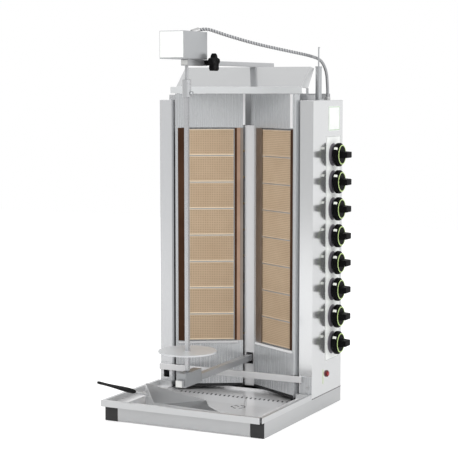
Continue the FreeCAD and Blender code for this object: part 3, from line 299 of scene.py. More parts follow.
def firedCeramic(name, light, dark, holes):
    # rows of fine holes from the tile's own UV, which is in metres; each hole is a dark brown dot, painted shade
    # inside the perforation
    material, nodes, links, shader = newMaterial(name)
    place = objectPlace(nodes, links, (1, 1, 1))
    clouds = addNoise(nodes, links, place, 14, 4)
    body = mixColour(nodes, links, clouds.outputs["Fac"], tileLook[dark], tileLook[light])
    grain = addNoise(nodes, links, place, 900, 3)
    bump = nodes.new("ShaderNodeBump")
    bump.inputs["Distance"].default_value = 0.0006
    links.new(spread(nodes, links, grain, 0.78, 0.92), shader.inputs["Roughness"])
    if holes:
        uv = nodes.new("ShaderNodeUVMap")
        cells = nodes.new("ShaderNodeVectorMath")
        cells.operation = "SCALE"
        cells.inputs["Scale"].default_value = 1 / tileLook["pitch"]
        links.new(uv.outputs["UV"], cells.inputs[0])
        part = nodes.new("ShaderNodeVectorMath")
        part.operation = "FRACTION"
        links.new(cells.outputs[0], part.inputs[0])
        centred = nodes.new("ShaderNodeVectorMath")
        centred.operation = "SUBTRACT"
        centred.inputs[1].default_value = (0.5, 0.5, 0)
        links.new(part.outputs[0], centred.inputs[0])
        reach = nodes.new("ShaderNodeVectorMath")
        reach.operation = "LENGTH"
        links.new(centred.outputs[0], reach.inputs[0])
        hole = nodes.new("ShaderNodeMapRange")
        hole.inputs["From Min"].default_value = tileLook["holeRadius"]
        hole.inputs["From Max"].default_value = tileLook["holeRadius"] + 0.12
        hole.inputs["To Min"].default_value = 0.6
        hole.inputs["To Max"].default_value = 0
        links.new(reach.outputs["Value"], hole.inputs["Value"])
        final = nodes.new("ShaderNodeMix")
        final.data_type = "RGBA"
        links.new(hole.outputs["Result"], final.inputs["Factor"])
        links.new(body, final.inputs["A"])
        # painted shade: the dark brown hole colour stands for the shade inside each perforation
        final.inputs["B"].default_value = tileLook["hole"]
        links.new(final.outputs["Result"], shader.inputs["Base Color"])
        bump.inputs["Strength"].default_value = 0.5
        bump.invert = True
        links.new(hole.outputs["Result"], bump.inputs["Height"])
    else:
        links.new(body, shader.inputs["Base Color"])
        bump.inputs["Strength"].default_value = 0.2
        links.new(grain.outputs["Fac"], bump.inputs["Height"])
    links.new(bump.outputs["Normal"], shader.inputs["Normal"])
    return material


ceramic = firedCeramic("perforatedCeramic", "pale", "deep", True)
tileRims = {-1: firedCeramic("litRimCeramic", "litRim", "litRimDeep", False),
            1: firedCeramic("tileRimCeramic", "rim", "rimDeep", False)}


def cloudedMetal(name, dark, light, rough):
    # metal with soft clouds between its dark and its light tone; brass, cast alloy and the copper-coloured strip use
    # it, and the dark brown and taupe strips beside the tiles are painted shade
    material, nodes, links, shader = newMaterial(name)
    brushed = addNoise(nodes, links, objectPlace(nodes, links, (500, 500, 3)), 1, 5)
    clouds = addNoise(nodes, links, objectPlace(nodes, links, (1, 1, 1)), 9, 3)
    links.new(mixColour(nodes, links, clouds.outputs["Fac"], dark, light), shader.inputs["Base Color"])
    links.new(spread(nodes, links, brushed, *rough), shader.inputs["Roughness"])
    shader.inputs["Metallic"].default_value = 1
    return material


copperTint = cloudedMetal("copperTint", tone(150, 118, 98), tone(196, 166, 146), (0.3, 0.42))
# painted shade: the dark brown and the taupe steel stand for the shade in the gaps beside the tiles
channelShadeBrown = cloudedMetal("channelShadeBrown", tone(58, 38, 28), tone(92, 66, 50), (0.4, 0.55))
channelShadeTaupe = cloudedMetal("channelShadeTaupe", tone(128, 118, 110), tone(160, 150, 142), (0.3, 0.42))
brassMetal = cloudedMetal("turnedBrass", tone(176, 142, 82), tone(206, 174, 110), (0.24, 0.34))
castAlloy = cloudedMetal("castAlloy", tone(150, 151, 153), tone(176, 177, 179), (0.42, 0.55))


def woundSteel():
    # painted shade: the hollows between the turns are coloured darker than their backs
    material, nodes, links, shader = newMaterial("woundSteel")
    layer = nodes.new("ShaderNodeVertexColor")
    layer.layer_name = "wound"
    grain = addNoise(nodes, links, objectPlace(nodes, links, (1, 1, 1)), 600, 3)
    links.new(mixColour(nodes, links, layer.outputs["Color"], tone(122, 123, 126), tone(198, 199, 201)),
              shader.inputs["Base Color"])
    links.new(spread(nodes, links, grain, 0.3, 0.42), shader.inputs["Roughness"])
    shader.inputs["Metallic"].default_value = 0.7
    return material


windingSteel = woundSteel()
print("materials done")


# camera, floor and light

cameraLook = {"spot": (2.045, -4.066, 1.0325), "azimuth": 26.6, "elevation": 5.58, "lens": 112.4}


def buildCamera():
    data = bpy.data.cameras.new("camera")
    data.lens = cameraLook["lens"]
    data.sensor_width = 36
    camera = bpy.data.objects.new("camera", data)
    camera.location = cameraLook["spot"]
    camera.rotation_euler = (math.radians(90 - cameraLook["elevation"]), 0, math.radians(cameraLook["azimuth"]))
    bpy.context.scene.collection.objects.link(camera)
    bpy.context.scene.camera = camera


lightLook = {"worldLow": 0.62, "worldHigh": 0.98, "brightSide": (0.45, 0.89, 0.2),
             "lamps": [{"spot": (-2.2, -3.2, 3.4), "size": 2.6, "power": 60},
                       {"spot": (3.2, -1.6, 2.6), "size": 2.2, "power": 34}],
             "floor": tone(250, 250, 250), "floorLift": 0.3}


def buildLight():
    world = bpy.data.worlds.new("studio")
    bpy.context.scene.world = world
    world.use_nodes = True
    nodes, links = world.node_tree.nodes, world.node_tree.links
    sky = nodes["Background"]
    place = nodes.new("ShaderNodeTexCoord")
    side = nodes.new("ShaderNodeVectorMath")
    side.operation = "DOT_PRODUCT"
    side.inputs[1].default_value = lightLook["brightSide"]
    links.new(place.outputs["Generated"], side.inputs[0])
    level = nodes.new("ShaderNodeMapRange")
    level.interpolation_type = "SMOOTHSTEP"
    level.inputs["From Min"].default_value = -1
    level.inputs["From Max"].default_value = 0.5
    level.inputs["To Min"].default_value = lightLook["worldLow"]
    level.inputs["To Max"].default_value = lightLook["worldHigh"]
    links.new(side.outputs["Value"], level.inputs["Value"])
    path = nodes.new("ShaderNodeLightPath")
    seen = nodes.new("ShaderNodeMix")
    links.new(path.outputs["Is Camera Ray"], seen.inputs["Factor"])
    links.new(level.outputs["Result"], seen.inputs["A"])
    seen.inputs["B"].default_value = 1
    links.new(seen.outputs["Result"], sky.inputs["Strength"])
    sky.inputs["Color"].default_value = (1, 1, 1, 1)
    middle = Vector((0, 0, 0.55))
    for number, lamp in enumerate(lightLook["lamps"]):
        data = bpy.data.lights.new("softbox%d" % number, "AREA")
        data.size = lamp["size"]
        data.energy = lamp["power"]
        light = bpy.data.objects.new("softbox%d" % number, data)
        light.location = lamp["spot"]
        light.rotation_euler = (middle - Vector(lamp["spot"])).to_track_quat("-Z", "Y").to_euler()
        bpy.context.scene.collection.objects.link(light)
    mesh = bpy.data.meshes.new("floor")
    reach = 6
    corners = [(-reach, -reach, 0), (reach, -reach, 0), (reach, reach, 0), (-reach, reach, 0)]
    mesh.from_pydata(corners, [], [(0, 1, 2, 3)])
    floor = bpy.data.objects.new("floor", mesh)
    floor.location = (0, 0, -0.0005)
    bpy.context.scene.collection.objects.link(floor)
    material, nodes, links, shader = newMaterial("paleFloor")
    shader.inputs["Base Color"].default_value = lightLook["floor"]
    shader.inputs["Roughness"].default_value = 0.9
    shader.inputs["Specular IOR Level"].default_value = 0.1
    shader.inputs["Emission Color"].default_value = (1, 1, 1, 1)
    path = nodes.new("ShaderNodeLightPath")
    lift = nodes.new("ShaderNodeMath")
    lift.operation = "MULTIPLY"
    lift.inputs[1].default_value = lightLook["floorLift"]
    links.new(path.outputs["Is Camera Ray"], lift.inputs[0])
    links.new(lift.outputs[0], shader.inputs["Emission Strength"])
    floor.data.materials.append(material)
    bpy.context.scene.view_settings.view_transform = "Standard"


buildCamera()
buildLight()
print("camera and light done")


# the nodes kept in their own shape, with edges broken and a finish

nodeFinish = {
    "side_rails": (steel["railSteelAlongY"], 0.0012), "base_cross_members": (steel["railSteelAlongX"], 0.001),
    # painted shade: the deck plate in the gap under the burner panels is near black
    "fat_drawer": (steel["railSteelAlongX"], 0.0004), "deck_plate": (steel["paintedShadeSteel"], 0.0003),
    # painted reflection: the drip tray's floor takes the lightened steel, its rim faces the plain one
    "drip_tray": (steel["trayFloorReflectionSteel"], 0.0005), "control_box": (steel["boxSteel"], 0.0012),
    "control_box_cover": (steel["boxSteel"], 0.0004), "left_housing": (steel["housingSteel"], 0.0012),
    "rear_cover": (steel["housingSteel"], 0.0004), "left_foot": (steel["housingSteel"], 0.0006),
    "right_foot": (steel["frontSteel"], 0.0004), "cross_rail": (steel["columnSteel"], 0.0012),
    "right_burner_front": (steel["frontSteel"], 0.0004), "left_burner_front": (steel["frontSteel"], 0.0004),
    "centre_column": (steel["columnSteel"], 0.0006), "lower_arm": (steel["armSteel"], 0.0014),
    "upper_arm": (steel["armSteel"], 0.0012), "arm_end_caps": (plastic["armCapPlastic"], 0.0008),
    "hood_brackets": (steel["housingSteel"], 0.0004), "lower_slider": (steel["sliderSteel"], 0.0005),
    "drive_shaft": (steel["armSteel"], 0.0006), "spit_bar": (steel["barSteel"], 0.0008),
    "meat_disc": (steel["discSteel"], 0.001), "upper_carriage": (steel["armSteel"], 0.0006),
    "motor_base_plate": (steel["casingSteel"], 0.0004), "motor_casing": (steel["casingSteel"], 0.0014),
    "hose_post": (steel["casingSteel"], 0.0008), "box_gland": (steel["screwSteel"], 0.001),
    "motor_gland": (steel["screwSteel"], 0.001), "left_burners": (steel["casingSteel"], 0.0004),
    "right_burners": (steel["casingSteel"], 0.0004), "rail_end_caps": (plastic["capRubber"], 0.0012),
    "gas_manifold": (brassMetal, 0.0006), "gas_valves": (brassMetal, 0.001),
    "foot_screws": (steel["screwSteel"], 0.0006), "knob_bezels": (plastic["bezelPlastic"], 0.0012),
    "switch_collar": (plastic["collarPlastic"], 0.0008), "power_button": (plastic["buttonPlastic"], 0.001),
    "gear_motor": (castAlloy, 0.001), "scoop_pan": (steel["scoopSteel"], 0.0003),
    "knob_plate": (plastic["plateWhite"], 0.0003), "blank_plate": (plastic["plateWhite"], 0.0003),
    "motor_front_plate": (plastic["plateWhite"], 0.0003), "gas_pipes": (brassMetal, 0.0004),
}
dressed = {node: dressNode(node, material, width) for node, (material, width) in nodeFinish.items()}
for node in frame["nodes"]:
    if node not in nodeFinish:
        frame["nodes"][node].data.materials.clear()
        frame["nodes"][node].data.materials.append(steel["screwSteel"])


def secondFinish(piece, material, test):
    # gives the faces that pass the test another finish
    piece.data.materials.append(material)
    added = len(piece.data.materials) - 1
    for face in piece.data.polygons:
        if test(face):
            face.material_index = added


finishZones = {"level": 0.8, "upright": 0.5, "scoopFloorTop": 0.04, "drawerFloorTop": 0.02, "rimFront": -0.3055,
               "rimLow": 0.05, "drain": (0.062, -0.041), "drainReach": 0.0245, "holesY": 0.055, "holesDepth": 0.003,
               "holesHalf": 0.21}


def floorBelow(top):
    return lambda face: face.normal.z > finishZones["level"] and face.center.z < top


def onTrayRim(face):
    return face.center.y < finishZones["rimFront"] or face.center.z > finishZones["rimLow"]


def inTrayHole(face):
    # the walls of the drain's slots and of the row of holes behind it, which take near-black steel as painted shade
    zones = finishZones
    drainX, drainY = zones["drain"]
    atDrain = math.hypot(face.center.x - drainX, face.center.y - drainY) < zones["drainReach"]
    inRow = abs(face.center.y - zones["holesY"]) < zones["holesDepth"] and abs(face.center.x) < zones["holesHalf"]
    return abs(face.normal.z) < zones["upright"] and (atDrain or inRow)


# painted shade: the scoop's floor faces take the darker copy of its steel
secondFinish(dressed["scoop_pan"], steel["scoopFloorShadeSteel"], floorBelow(finishZones["scoopFloorTop"]))
secondFinish(dressed["drip_tray"], steel["trayRimSteel"], onTrayRim)
# painted shade: the walls of the tray's slots and holes turn near black
secondFinish(dressed["drip_tray"], steel["paintedShadeSteel"], inTrayHole)
# painted shade: the drawer's floor faces are darkened
secondFinish(dressed["fat_drawer"], steel["drawerFloorShadeSteel"], floorBelow(finishZones["drawerFloorTop"]))
print("carried nodes dressed")


# the burner panels stand in a wide V: along runs out from its tip, back runs behind the front faces

veeLook = {"tip": 0.175, "angle": 60}


def onPanel(side, along, back, height):
    turn = math.radians(veeLook["angle"])
    return Vector((side * (math.sin(turn) * along + math.cos(turn) * back),
                   veeLook["tip"] - math.cos(turn) * along + math.sin(turn) * back, height))


def placeOnPanel(side, spot):
    turn = math.radians(veeLook["angle"])
    return side * math.sin(turn) * spot.x - math.cos(turn) * (spot.y - veeLook["tip"])


def panelRing(work, side, along, back, height):
    corners = ((along[0], height[0]), (along[1], height[0]), (along[1], height[1]), (along[0], height[1]))
    return [work.verts.new(onPanel(side, a, back, h)) for a, h in corners]


def bridge(work, first, second):
    return [work.faces.new((first[k], first[(k + 1) % 4], second[(k + 1) % 4], second[k])) for k in range(4)]


def panelStrip(work, side, along, back, height):
    front, rear = panelRing(work, side, along, back[0], height), panelRing(work, side, along, back[1], height)
    bridge(work, front, rear)
    work.faces.new(front)
    work.faces.new(list(reversed(rear)))


tileSet = {"rows": 8, "low": 0.2037, "pitch": 0.08765, "height": 0.0862, "along": (0.0525, 0.2255), "face": 0.0032,
           "depth": 0.0155, "rim": 0.0040, "edge": 0.0016, "seal": (0.0042, 0.0058), "sunk": 0.0007, "round": 0.0011}


def buildTiles(side, node):
    look = tileSet
    work = bmesh.new()
    rimEdges, fields = [], []
    near, far = look["along"]
    for row in range(look["rows"]):
        low = look["low"] + row * look["pitch"]
        high = low + look["height"]
        rim, edge = look["rim"], look["edge"]
        outer = panelRing(work, side, (near, far), look["face"], (low, high))
        inner = panelRing(work, side, (near + edge, far - edge), look["face"], (low + rim, high - rim))
        sunk = panelRing(work, side, (near + edge, far - edge), look["face"] + look["sunk"], (low + rim, high - rim))
        rear = panelRing(work, side, (near, far), look["depth"], (low, high))
        bridge(work, outer, inner)
        bridge(work, inner, sunk)
        bridge(work, rear, outer)
        fields.append(work.faces.new(sunk))
        work.faces.new(list(reversed(rear)))
        rimEdges += [work.edges.get((outer[k], outer[(k + 1) % 4])) for k in range(4)]
    for face in fields:
        face.material_index = 1
    bmesh.ops.recalc_face_normals(work, faces=work.faces)
    bmesh.ops.bevel(work, geom=rimEdges, offset=look["round"], segments=2, affect="EDGES")
    # fibre seal that closes the joints behind the faces
    top = look["low"] + (look["rows"] - 1) * look["pitch"] + look["height"]
    panelStrip(work, side, (near, far), look["seal"], (look["low"], top))
    bmesh.ops.recalc_face_normals(work, faces=work.faces)
    uv = work.loops.layers.uv.new("UVMap")
    for face in work.faces:
        for loop in face.loops:
            loop[uv].uv = (placeOnPanel(side, loop.vert.co), loop.vert.co.z)
    piece = addPiece(node + "_set", finishMesh(work, node, 30), tileRims[side])
    piece.data.materials.append(ceramic)
    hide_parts(node)
    rideWith(piece, node)


buildTiles(-1, "left_tiles")
buildTiles(1, "right_tiles")

panelTrim = [
    # name, side, along, back, height, material
    # the taupe and dark brown channel strips are painted shade in the gaps between the column, the tiles and the
    # housings
    ("left_inner_channel_edge", -1, (0.0235, 0.0331), (-0.0008, 0.0020), (0.2015, 0.9070), channelShadeTaupe),
    ("left_inner_channel", -1, (0.0330, 0.0446), (-0.0008, 0.0020), (0.2015, 0.9070), copperTint),
    ("left_inner_channel_deep", -1, (0.0445, 0.0522), (-0.0008, 0.0020), (0.2015, 0.9070), channelShadeBrown),
    ("left_outer_channel", -1, (0.2150, 0.2385), (-0.0008, 0.0026), (0.2015, 0.9070), channelShadeBrown),
    ("right_inner_channel", 1, (0.0340, 0.0660), (-0.0008, 0.0026), (0.2015, 0.9070), channelShadeTaupe),
    ("right_outer_channel", 1, (0.2256, 0.2385), (-0.0008, 0.0020), (0.2015, 0.9070), channelShadeBrown),
    ("left_foot_shadow_gap", -1, (0.0240, 0.2460), (-0.0010, 0.0006), (0.0484, 0.0566), steel["paintedShadeSteel"]),
    ("right_foot_shadow_gap", 1, (0.0240, 0.2460), (-0.0010, 0.0006), (0.0484, 0.0566), steel["paintedShadeSteel"]),
    # painted highlight: the right ledge and the upper flanges are a brighter copy of the panel steel; the left ledge
    # takes the column's steel
    ("left_tile_ledge", -1, (0.0400, 0.2385), (-0.0045, 0.0006), (0.1925, 0.1990), steel["columnSteel"]),
    ("right_tile_ledge", 1, (0.0340, 0.2385), (-0.0045, 0.0006), (0.1925, 0.1990), steel["flangeHighlightSteel"]),
    ("right_upper_plate", 1, (0.0020, 0.0240), (-0.0004, 0.0012), (0.9160, 1.0175), steel["frontSteel"]),
    ("left_upper_flange", -1, (0.0170, 0.0245), (-0.0012, 0.0008), (0.9160, 1.0175), steel["flangeHighlightSteel"]),
    ("right_upper_flange", 1, (0.2245, 0.2370), (-0.0022, 0.0006), (0.9110, 1.0175), steel["flangeHighlightSteel"]),
]
for name, side, along, back, height, material in panelTrim:
    work = bmesh.new()
    panelStrip(work, side, along, back, height)
    bmesh.ops.recalc_face_normals(work, faces=work.faces)
    node = "left_burner_front" if side < 0 else "right_burner_front"
    strip = addPiece(name, finishMesh(work, name, 30), material)
    soften(strip, 0.0004, 1)
    rideWith(strip, node)
print("burner panels done")


# hood: front band with a shelf, and the polished slope with a wing at each side

hoodLook = {"band": [(0.0700, 1.0192), (0.0575, 1.0192), (0.0575, 1.0406), (0.0915, 1.0406)], "halfWidth": 0.235,
            "foldBase": (0.215, 0.0918, 1.0402), "foldTop": (0.2245, 0.1503, 1.1046),
            "wingBase": (0.2385, 0.0976, 1.0350), "wingTop": (0.2345, 0.1560, 1.0992), "sheet": 0.0013}


def buildHood():
    look = hoodLook
    work = bmesh.new()
    rows = [[work.verts.new((x, y, z)) for x in (-look["halfWidth"], look["halfWidth"])] for y, z in look["band"]]
    for low, high in zip(rows, rows[1:]):
        work.faces.new((low[0], low[1], high[1], high[0]))
    flip = Matrix.Diagonal((-1, 1, 1))
    right = [Vector(look[key]) for key in ("foldBase", "wingBase", "wingTop", "foldTop")]
    rightVerts = [work.verts.new(spot) for spot in right]
    leftVerts = [work.verts.new(flip @ spot) for spot in right]
    slope = work.faces.new((leftVerts[0], rightVerts[0], rightVerts[3], leftVerts[3]))
    slope.material_index = 1
    for face in (work.faces.new(rightVerts), work.faces.new(list(reversed(leftVerts)))):
        face.material_index = 2
    piece = addPiece("hood_sheets", finishMesh(work, "hood_sheets", 20), steel["bandSteel"])
    piece.data.materials.append(steel["hoodSteel"])
    piece.data.materials.append(steel["wingSteel"])
    body = piece.modifiers.new("sheet", "SOLIDIFY")
    body.thickness = look["sheet"]
    body.offset = -1
    body.use_even_offset = True
    bakeModifiers(piece)
    soften(piece, 0.0004, 2, 30)
    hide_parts("hood")
    rideWith(piece, "hood")


buildHood()
print("hood done")


# valve knobs: skirt, boss with its pale ring, index mark and rounded grip

knobLook = {"rows": 8, "low": 0.209, "pitch": 0.08765, "y": 0.219, "gripFrom": 0.304, "gripTo": 0.3325,
            "gripHalf": (0.0250, 0.0112), "gripTaper": 0.86, "markAngle": 34, "markHalf": 6.5,
            "mark": [(0.2918, 0.0376), (0.2918, 0.03815), (0.2998, 0.03815), (0.3018, 0.0370), (0.3026, 0.0345),
                     (0.3020, 0.0340)],
            "skirt": [(0.2842, 0.0195), (0.2888, 0.0195), (0.2888, 0.0350), (0.2900, 0.0372), (0.2915, 0.0379),
                      (0.3000, 0.0379), (0.3014, 0.0372), (0.3020, 0.0355), (0.3022, 0.0335), (0.3062, 0.0330),
                      (0.3078, 0.0318), (0.3080, 0.0300), (0.3074, 0.0270), (0.3074, 0.0100)],
            "ring": [(0.3076, 0.0284), (0.3084, 0.0290), (0.3084, 0.0311), (0.3074, 0.0322), (0.3068, 0.0320),
                     (0.3070, 0.0284)]}


def shiftTo(work, y, z):
    bmesh.ops.translate(work, verts=work.verts, vec=(0, y, z))


def buildKnob(row):
    look = knobLook
    node = "knob_%d" % (row + 1)
    level = look["low"] + row * look["pitch"]
    work = spinProfile(look["skirt"], 64)
    shiftTo(work, look["y"], level)
    body = addPiece(node + "_body", finishMesh(work, node + "_body", 32), plastic["knobPlastic"])
    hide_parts(node)
    rideWith(body, node)
    work = bmesh.new()
    half, flat = look["gripHalf"]
    verts = addBlock(work, (look["gripFrom"], -half, -flat), (look["gripTo"], half, flat))
    for vert in verts:
        if vert.co.x > look["gripTo"] - 0.001:
            vert.co.y *= look["gripTaper"]
            vert.co.z *= look["gripTaper"]
    bmesh.ops.bevel(work, geom=work.edges[:], offset=0.0032, segments=4, profile=0.6, affect="EDGES")
    shiftTo(work, look["y"], level)
    grip = addPiece(node + "_grip", finishMesh(work, node + "_grip", 60), plastic["knobPlastic"])
    rideWith(grip, node)
    work = bmesh.new()
    count = 64
    rings = [[work.verts.new((x, r * math.cos(2 * math.pi * k / count), r * math.sin(2 * math.pi * k / count)))
              for k in range(count)] for x, r in look["ring"]]
    for first, second in zip(rings, rings[1:] + rings[:1]):
        for k in range(count):
            after = (k + 1) % count
            work.faces.new((first[k], first[after], second[after], second[k]))
    bmesh.ops.recalc_face_normals(work, faces=work.faces)
    shiftTo(work, look["y"], level)
    ring = addPiece(node + "_ring", finishMesh(work, node + "_ring", 40), plastic["ringPaint"])
    rideWith(ring, node)
    work = bmesh.new()
    columns = []
    for step in range(7):
        angle = math.radians(180 - look["markAngle"] + look["markHalf"] * (step / 3 - 1))
        columns.append([work.verts.new((x, r * math.cos(angle), r * math.sin(angle))) for x, r in look["mark"]])
    for first, second in zip(columns, columns[1:]):
        for k in range(len(first)):
            after = (k + 1) % len(first)
            work.faces.new((first[k], first[after], second[after], second[k]))
    work.faces.new(columns[0])
    work.faces.new(list(reversed(columns[-1])))
    bmesh.ops.recalc_face_normals(work, faces=work.faces)
    shiftTo(work, look["y"], level)
    mark = addPiece(node + "_mark", finishMesh(work, node + "_mark", 40), plastic["pointerPaint"])
    rideWith(mark, node)


for row in range(knobLook["rows"]):
    buildKnob(row)
print("valve knobs done")


# star knob that clamps the upper arm's sleeve

starLook = {"y": -0.205, "z": 1.112, "lobes": 5, "first": 18, "radius": 0.0241, "wave": 0.0044,
            "head": [(0.0530, 0.70), (0.0530, 0.90), (0.0548, 1.0), (0.0660, 1.0), (0.0685, 0.93), (0.0692, 0.80),
                     (0.0692, 0.45), (0.0680, 0.38), (0.0680, 0.10)],
            "collar": [(0.0318, 0.0040), (0.0326, 0.0040), (0.0326, 0.0078), (0.0340, 0.0082), (0.0505, 0.0082),
                       (0.0532, 0.0100)]}


def buildStarKnob():
    look = starLook

    def lobe(angle, along):
        wave = look["wave"] * math.cos(look["lobes"] * (angle - math.radians(look["first"])))
        return (look["radius"] + wave) / look["radius"]
    head = [(along, share * look["radius"]) for along, share in look["head"]]
    work = spinProfile(head, 100, lobe)
    shiftTo(work, look["y"], look["z"])
    body = addPiece("star_knob_head", finishMesh(work, "star_knob_head", 40), plastic["knobPlastic"])
    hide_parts("star_knob")
    rideWith(body, "star_knob")
    work = spinProfile(look["collar"], 40)
    shiftTo(work, look["y"], look["z"])
    collar = addPiece("star_knob_collar", finishMesh(work, "star_knob_collar", 32), plastic["knobPlastic"])
    rideWith(collar, "star_knob")


buildStarKnob()


# spit coupling with its small locking screw

couplingLook = {"profile": [(1.0092, 0.0068), (1.0092, 0.0122), (1.0105, 0.0134), (1.0470, 0.0134), (1.0480, 0.0127),
                            (1.0490, 0.0134), (1.0615, 0.0134), (1.0628, 0.0120), (1.0628, 0.0056)],
                "screw": [(0.0120, 0.0028), (0.0150, 0.0028), (0.0150, 0.0052), (0.0160, 0.0060), (0.0205, 0.0060),
                          (0.0215, 0.0050)], "screwZ": 1.0205, "y": -0.266}


def buildCoupling():
    look = couplingLook
    work = spinProfile(look["profile"], 48)
    bmesh.ops.rotate(work, verts=work.verts, matrix=Matrix.Rotation(math.radians(-90), 3, "Y"))
    shiftTo(work, look["y"], 0)
    body = addPiece("spit_coupling_turned", finishMesh(work, "spit_coupling_turned", 32), steel["barSteel"])
    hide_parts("spit_coupling")
    rideWith(body, "spit_coupling")
    knurl = spinProfile(look["screw"], 36, lambda angle, along: 1 + 0.04 * math.cos(12 * angle))
    shiftTo(knurl, look["y"], look["screwZ"])
    screw = addPiece("coupling_thumbscrew", finishMesh(knurl, "coupling_thumbscrew", 32), steel["casingSteel"])
    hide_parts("coupling_screw")
    rideWith(screw, "coupling_screw")


buildCoupling()


# scoop handle, swollen at the neck and slim in the middle

handleLook = {"pan": (-0.167, -0.210, 0.0244), "turn": 41, "root": (0.001, 0.018, 0.044), "rise": 17, "start": 0.043,
              "length": 0.128, "profile": [(0, 0.0036), (0.02, 0.0052), (0.06, 0.0072), (0.18, 0.0079), (0.34, 0.0073),
                                           (0.52, 0.0058), (0.70, 0.0046), (0.84, 0.0044), (0.93, 0.0048),
                                           (0.98, 0.0042), (1.0, 0.0024)]}


def buildHandle():
    look = handleLook
    rise = math.radians(look["rise"])
    out = Vector((-math.cos(rise), 0, math.sin(rise)))
    turn = Matrix.Rotation(math.radians(look["turn"]), 3, "Z")
    start = Vector(look["pan"]) + turn @ (Vector(look["root"]) + out * look["start"])
    direction = turn @ out
    work = spinProfile([(share * look["length"], radius) for share, radius in look["profile"]], 28)
    aim = Vector((1, 0, 0)).rotation_difference(direction).to_matrix().to_4x4()
    bmesh.ops.transform(work, verts=work.verts, matrix=Matrix.Translation(start) @ aim)
    handle = addPiece("scoop_handle_grip", finishMesh(work, "scoop_handle_grip", 50), plastic["handlePlastic"])
    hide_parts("scoop_handle")
    rideWith(handle, "scoop_handle")


buildHandle()
print("clamp knob, coupling and scoop handle done")


# thin borders on the bare plates, a black strip of painted shadow under the control box and the strip beside the
# switch

def flatFrame(work, axis, level, proud, low, high, line):
    # four thin strips round a rectangle that faces along the axis
    sides = [((low[0], low[1]), (high[0], low[1] + line)), ((low[0], high[1] - line), (high[0], high[1])),
             ((low[0], low[1] + line), (low[0] + line, high[1] - line)),
             ((high[0] - line, low[1] + line), (high[0], high[1] - line))]
    for (a, b), (c, d) in sides:
        if axis == "x":
            addBlock(work, (level - 0.0001, a, b), (level + proud, c, d))
        else:
            addBlock(work, (a, level - proud, b), (c, level + 0.0001, d))


borders = [
    ("knob_plate_border", "knob_plate", "x", 0.276, (0.1652, 0.1552), (0.2788, 0.8818), 0.0014, plastic["plateGrey"]),
    ("blank_plate_border", "blank_plate", "x", 0.276, (0.1812, 0.9012), (0.2698, 0.9768), 0.0018,
     plastic["plateGreen"]),
    ("motor_plate_border", "motor_front_plate", "y", -0.3608, (-0.0365, 1.1270), (0.0385, 1.2005), 0.0014,
     plastic["plateGreen"]),
]
for name, node, axis, level, low, high, line, material in borders:
    work = bmesh.new()
    flatFrame(work, axis, level, 0.00018, low, high, line)
    rideWith(addPiece(name, finishMesh(work, name), material), node)

smallStrips = [
    ("left_gap_cover", "left_housing", (-0.2298, 0.0580, 0.0500), (-0.2241, 0.0596, 0.9970), steel["sliderSteel"]),
    # painted shadow: a black strip where the control box meets the rail
    ("control_box_shadow_line", "control_box", (0.2748, 0.0585, 0.0476), (0.2756, 0.2995, 0.0494), steel["paintedShadeSteel"]),
    ("switch_strip", "control_box", (0.2749, 0.1468, 0.0830), (0.2756, 0.1496, 0.1300), plastic["ringPaint"]),
]
for name, node, low, high, material in smallStrips:
    work = bmesh.new()
    addBlock(work, low, high)
    bmesh.ops.bevel(work, geom=work.edges[:], offset=0.0002, segments=2, affect="EDGES")
    rideWith(addPiece(name, finishMesh(work, name), material), node)
# dark pads of painted shade that stand for the dark openings of oblong slots, along the fold of the tray's floor and
# ahead of its round holes
sieveLook = {"count": 25, "pitch": 0.016, "half": 0.0027, "front": (0.0435, 0.03322), "back": (0.0518, 0.03498),
             "sunk": 0.0002, "proud": 0.0003}


def buildSieve():
    look = sieveLook
    work = bmesh.new()
    for step in range(look["count"]):
        centre = (step - (look["count"] - 1) / 2) * look["pitch"]
        rings = []
        for lift in (-look["sunk"], look["proud"]):
            rings.append([work.verts.new((centre + x, y, z + lift))
                          for x, (y, z) in ((-look["half"], look["front"]), (look["half"], look["front"]),
                                            (look["half"], look["back"]), (-look["half"], look["back"]))])
        bridge(work, rings[0], rings[1])
        work.faces.new(list(reversed(rings[0])))
        work.faces.new(rings[1])
    bmesh.ops.recalc_face_normals(work, faces=work.faces)
    slots = addPiece("tray_sieve_slots", finishMesh(work, "tray_sieve_slots"), steel["paintedShadeSteel"])
    rideWith(slots, "drip_tray")


buildSieve()
print("borders and seams done")


# wound steel hose from the motor to the control box

hoseLook = {"route": [(0.024, -0.233, 1.209), (0.036, -0.213, 1.216), (0.062, -0.169, 1.202), (0.096, -0.112, 1.186),
                      (0.132, -0.052, 1.171), (0.168, 0.009, 1.159), (0.203, 0.069, 1.148), (0.234, 0.128, 1.138),
                      (0.251, 0.176, 1.126), (0.2535, 0.212, 1.090), (0.253, 0.221, 1.050), (0.2525, 0.225, 1.028),
                      (0.2525, 0.225, 1.008)],
            "radius": 0.0048, "groove": 0.00062, "pitch": 0.0098, "woundUntil": 0.43, "around": 16, "step": 0.0011,
            "length": 0.610, "diameter": 0.011}


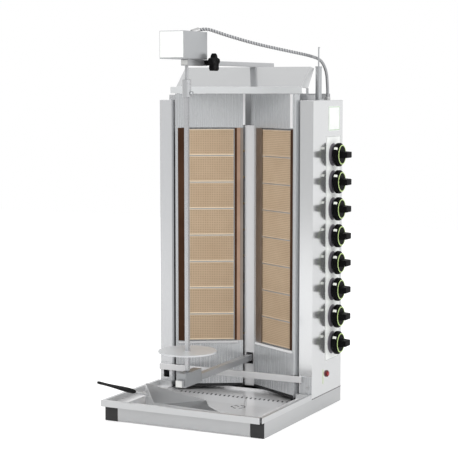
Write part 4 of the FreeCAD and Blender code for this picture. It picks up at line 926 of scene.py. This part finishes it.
def hoseLine():
    data = bpy.data.curves.new("hose_route", "CURVE")
    data.dimensions = "3D"
    data.resolution_u = 40
    spline = data.splines.new("NURBS")
    spline.points.add(len(hoseLook["route"]) - 1)
    for point, spot in zip(spline.points, hoseLook["route"]):
        point.co = (*spot, 1)
    spline.order_u = 3
    spline.use_endpoint_u = True
    carrier = bpy.data.objects.new("hose_route", data)
    bpy.context.scene.collection.objects.link(carrier)
    mesh = bpy.data.meshes.new_from_object(carrier)
    line = [vert.co.copy() for vert in mesh.vertices]
    bpy.data.objects.remove(carrier)
    return line


def buildHose():
    look = hoseLook
    line = hoseLine()
    runs = [0]
    for first, second in zip(line, line[1:]):
        runs.append(runs[-1] + (second - first).length)
    total = runs[-1]
    count = int(total / look["step"])
    centres, k = [], 0
    for step in range(count + 1):
        want = total * step / count
        while k < len(runs) - 2 and runs[k + 1] < want:
            k += 1
        share = (want - runs[k]) / (runs[k + 1] - runs[k])
        centres.append((want, line[k].lerp(line[k + 1], min(max(share, 0), 1))))
    work = bmesh.new()
    wound = work.loops.layers.color.new("wound")
    across = Vector((1, 0, 0))
    rings, levels = [], {}
    for number, (run, centre) in enumerate(centres):
        before, after = centres[max(number - 1, 0)][1], centres[min(number + 1, count)][1]
        along = (after - before).normalized()
        across = (across - along * across.dot(along)).normalized()
        up = along.cross(across)
        fade = min(max((look["woundUntil"] - run) / 0.05, 0), 1)
        ring = []
        for turn in range(look["around"]):
            angle = 2 * math.pi * turn / look["around"]
            wave = math.cos(angle - 2 * math.pi * run / look["pitch"]) * fade
            vert = work.verts.new(centre + (across * math.cos(angle) + up * math.sin(angle))
                                  * (look["radius"] + look["groove"] * wave))
            # painted shade: the colour level follows the groove, dark in the hollows
            levels[vert] = 0.5 + 0.5 * wave if fade else 0.75
            ring.append(vert)
        rings.append(ring)
    for first, second in zip(rings, rings[1:]):
        for turn in range(look["around"]):
            after = (turn + 1) % look["around"]
            work.faces.new((first[turn], first[after], second[after], second[turn]))
    work.faces.new(list(reversed(rings[0])))
    work.faces.new(rings[-1])
    bmesh.ops.recalc_face_normals(work, faces=work.faces)
    for face in work.faces:
        for loop in face.loops:
            level = levels[loop.vert]
            loop[wound] = (level, level, level, 1)
    hose = addPiece("motor_hose_wound", finishMesh(work, "motor_hose_wound", 60), windingSteel)
    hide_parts("motor_hose")
    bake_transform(hose)


buildHose()
print("hose done")
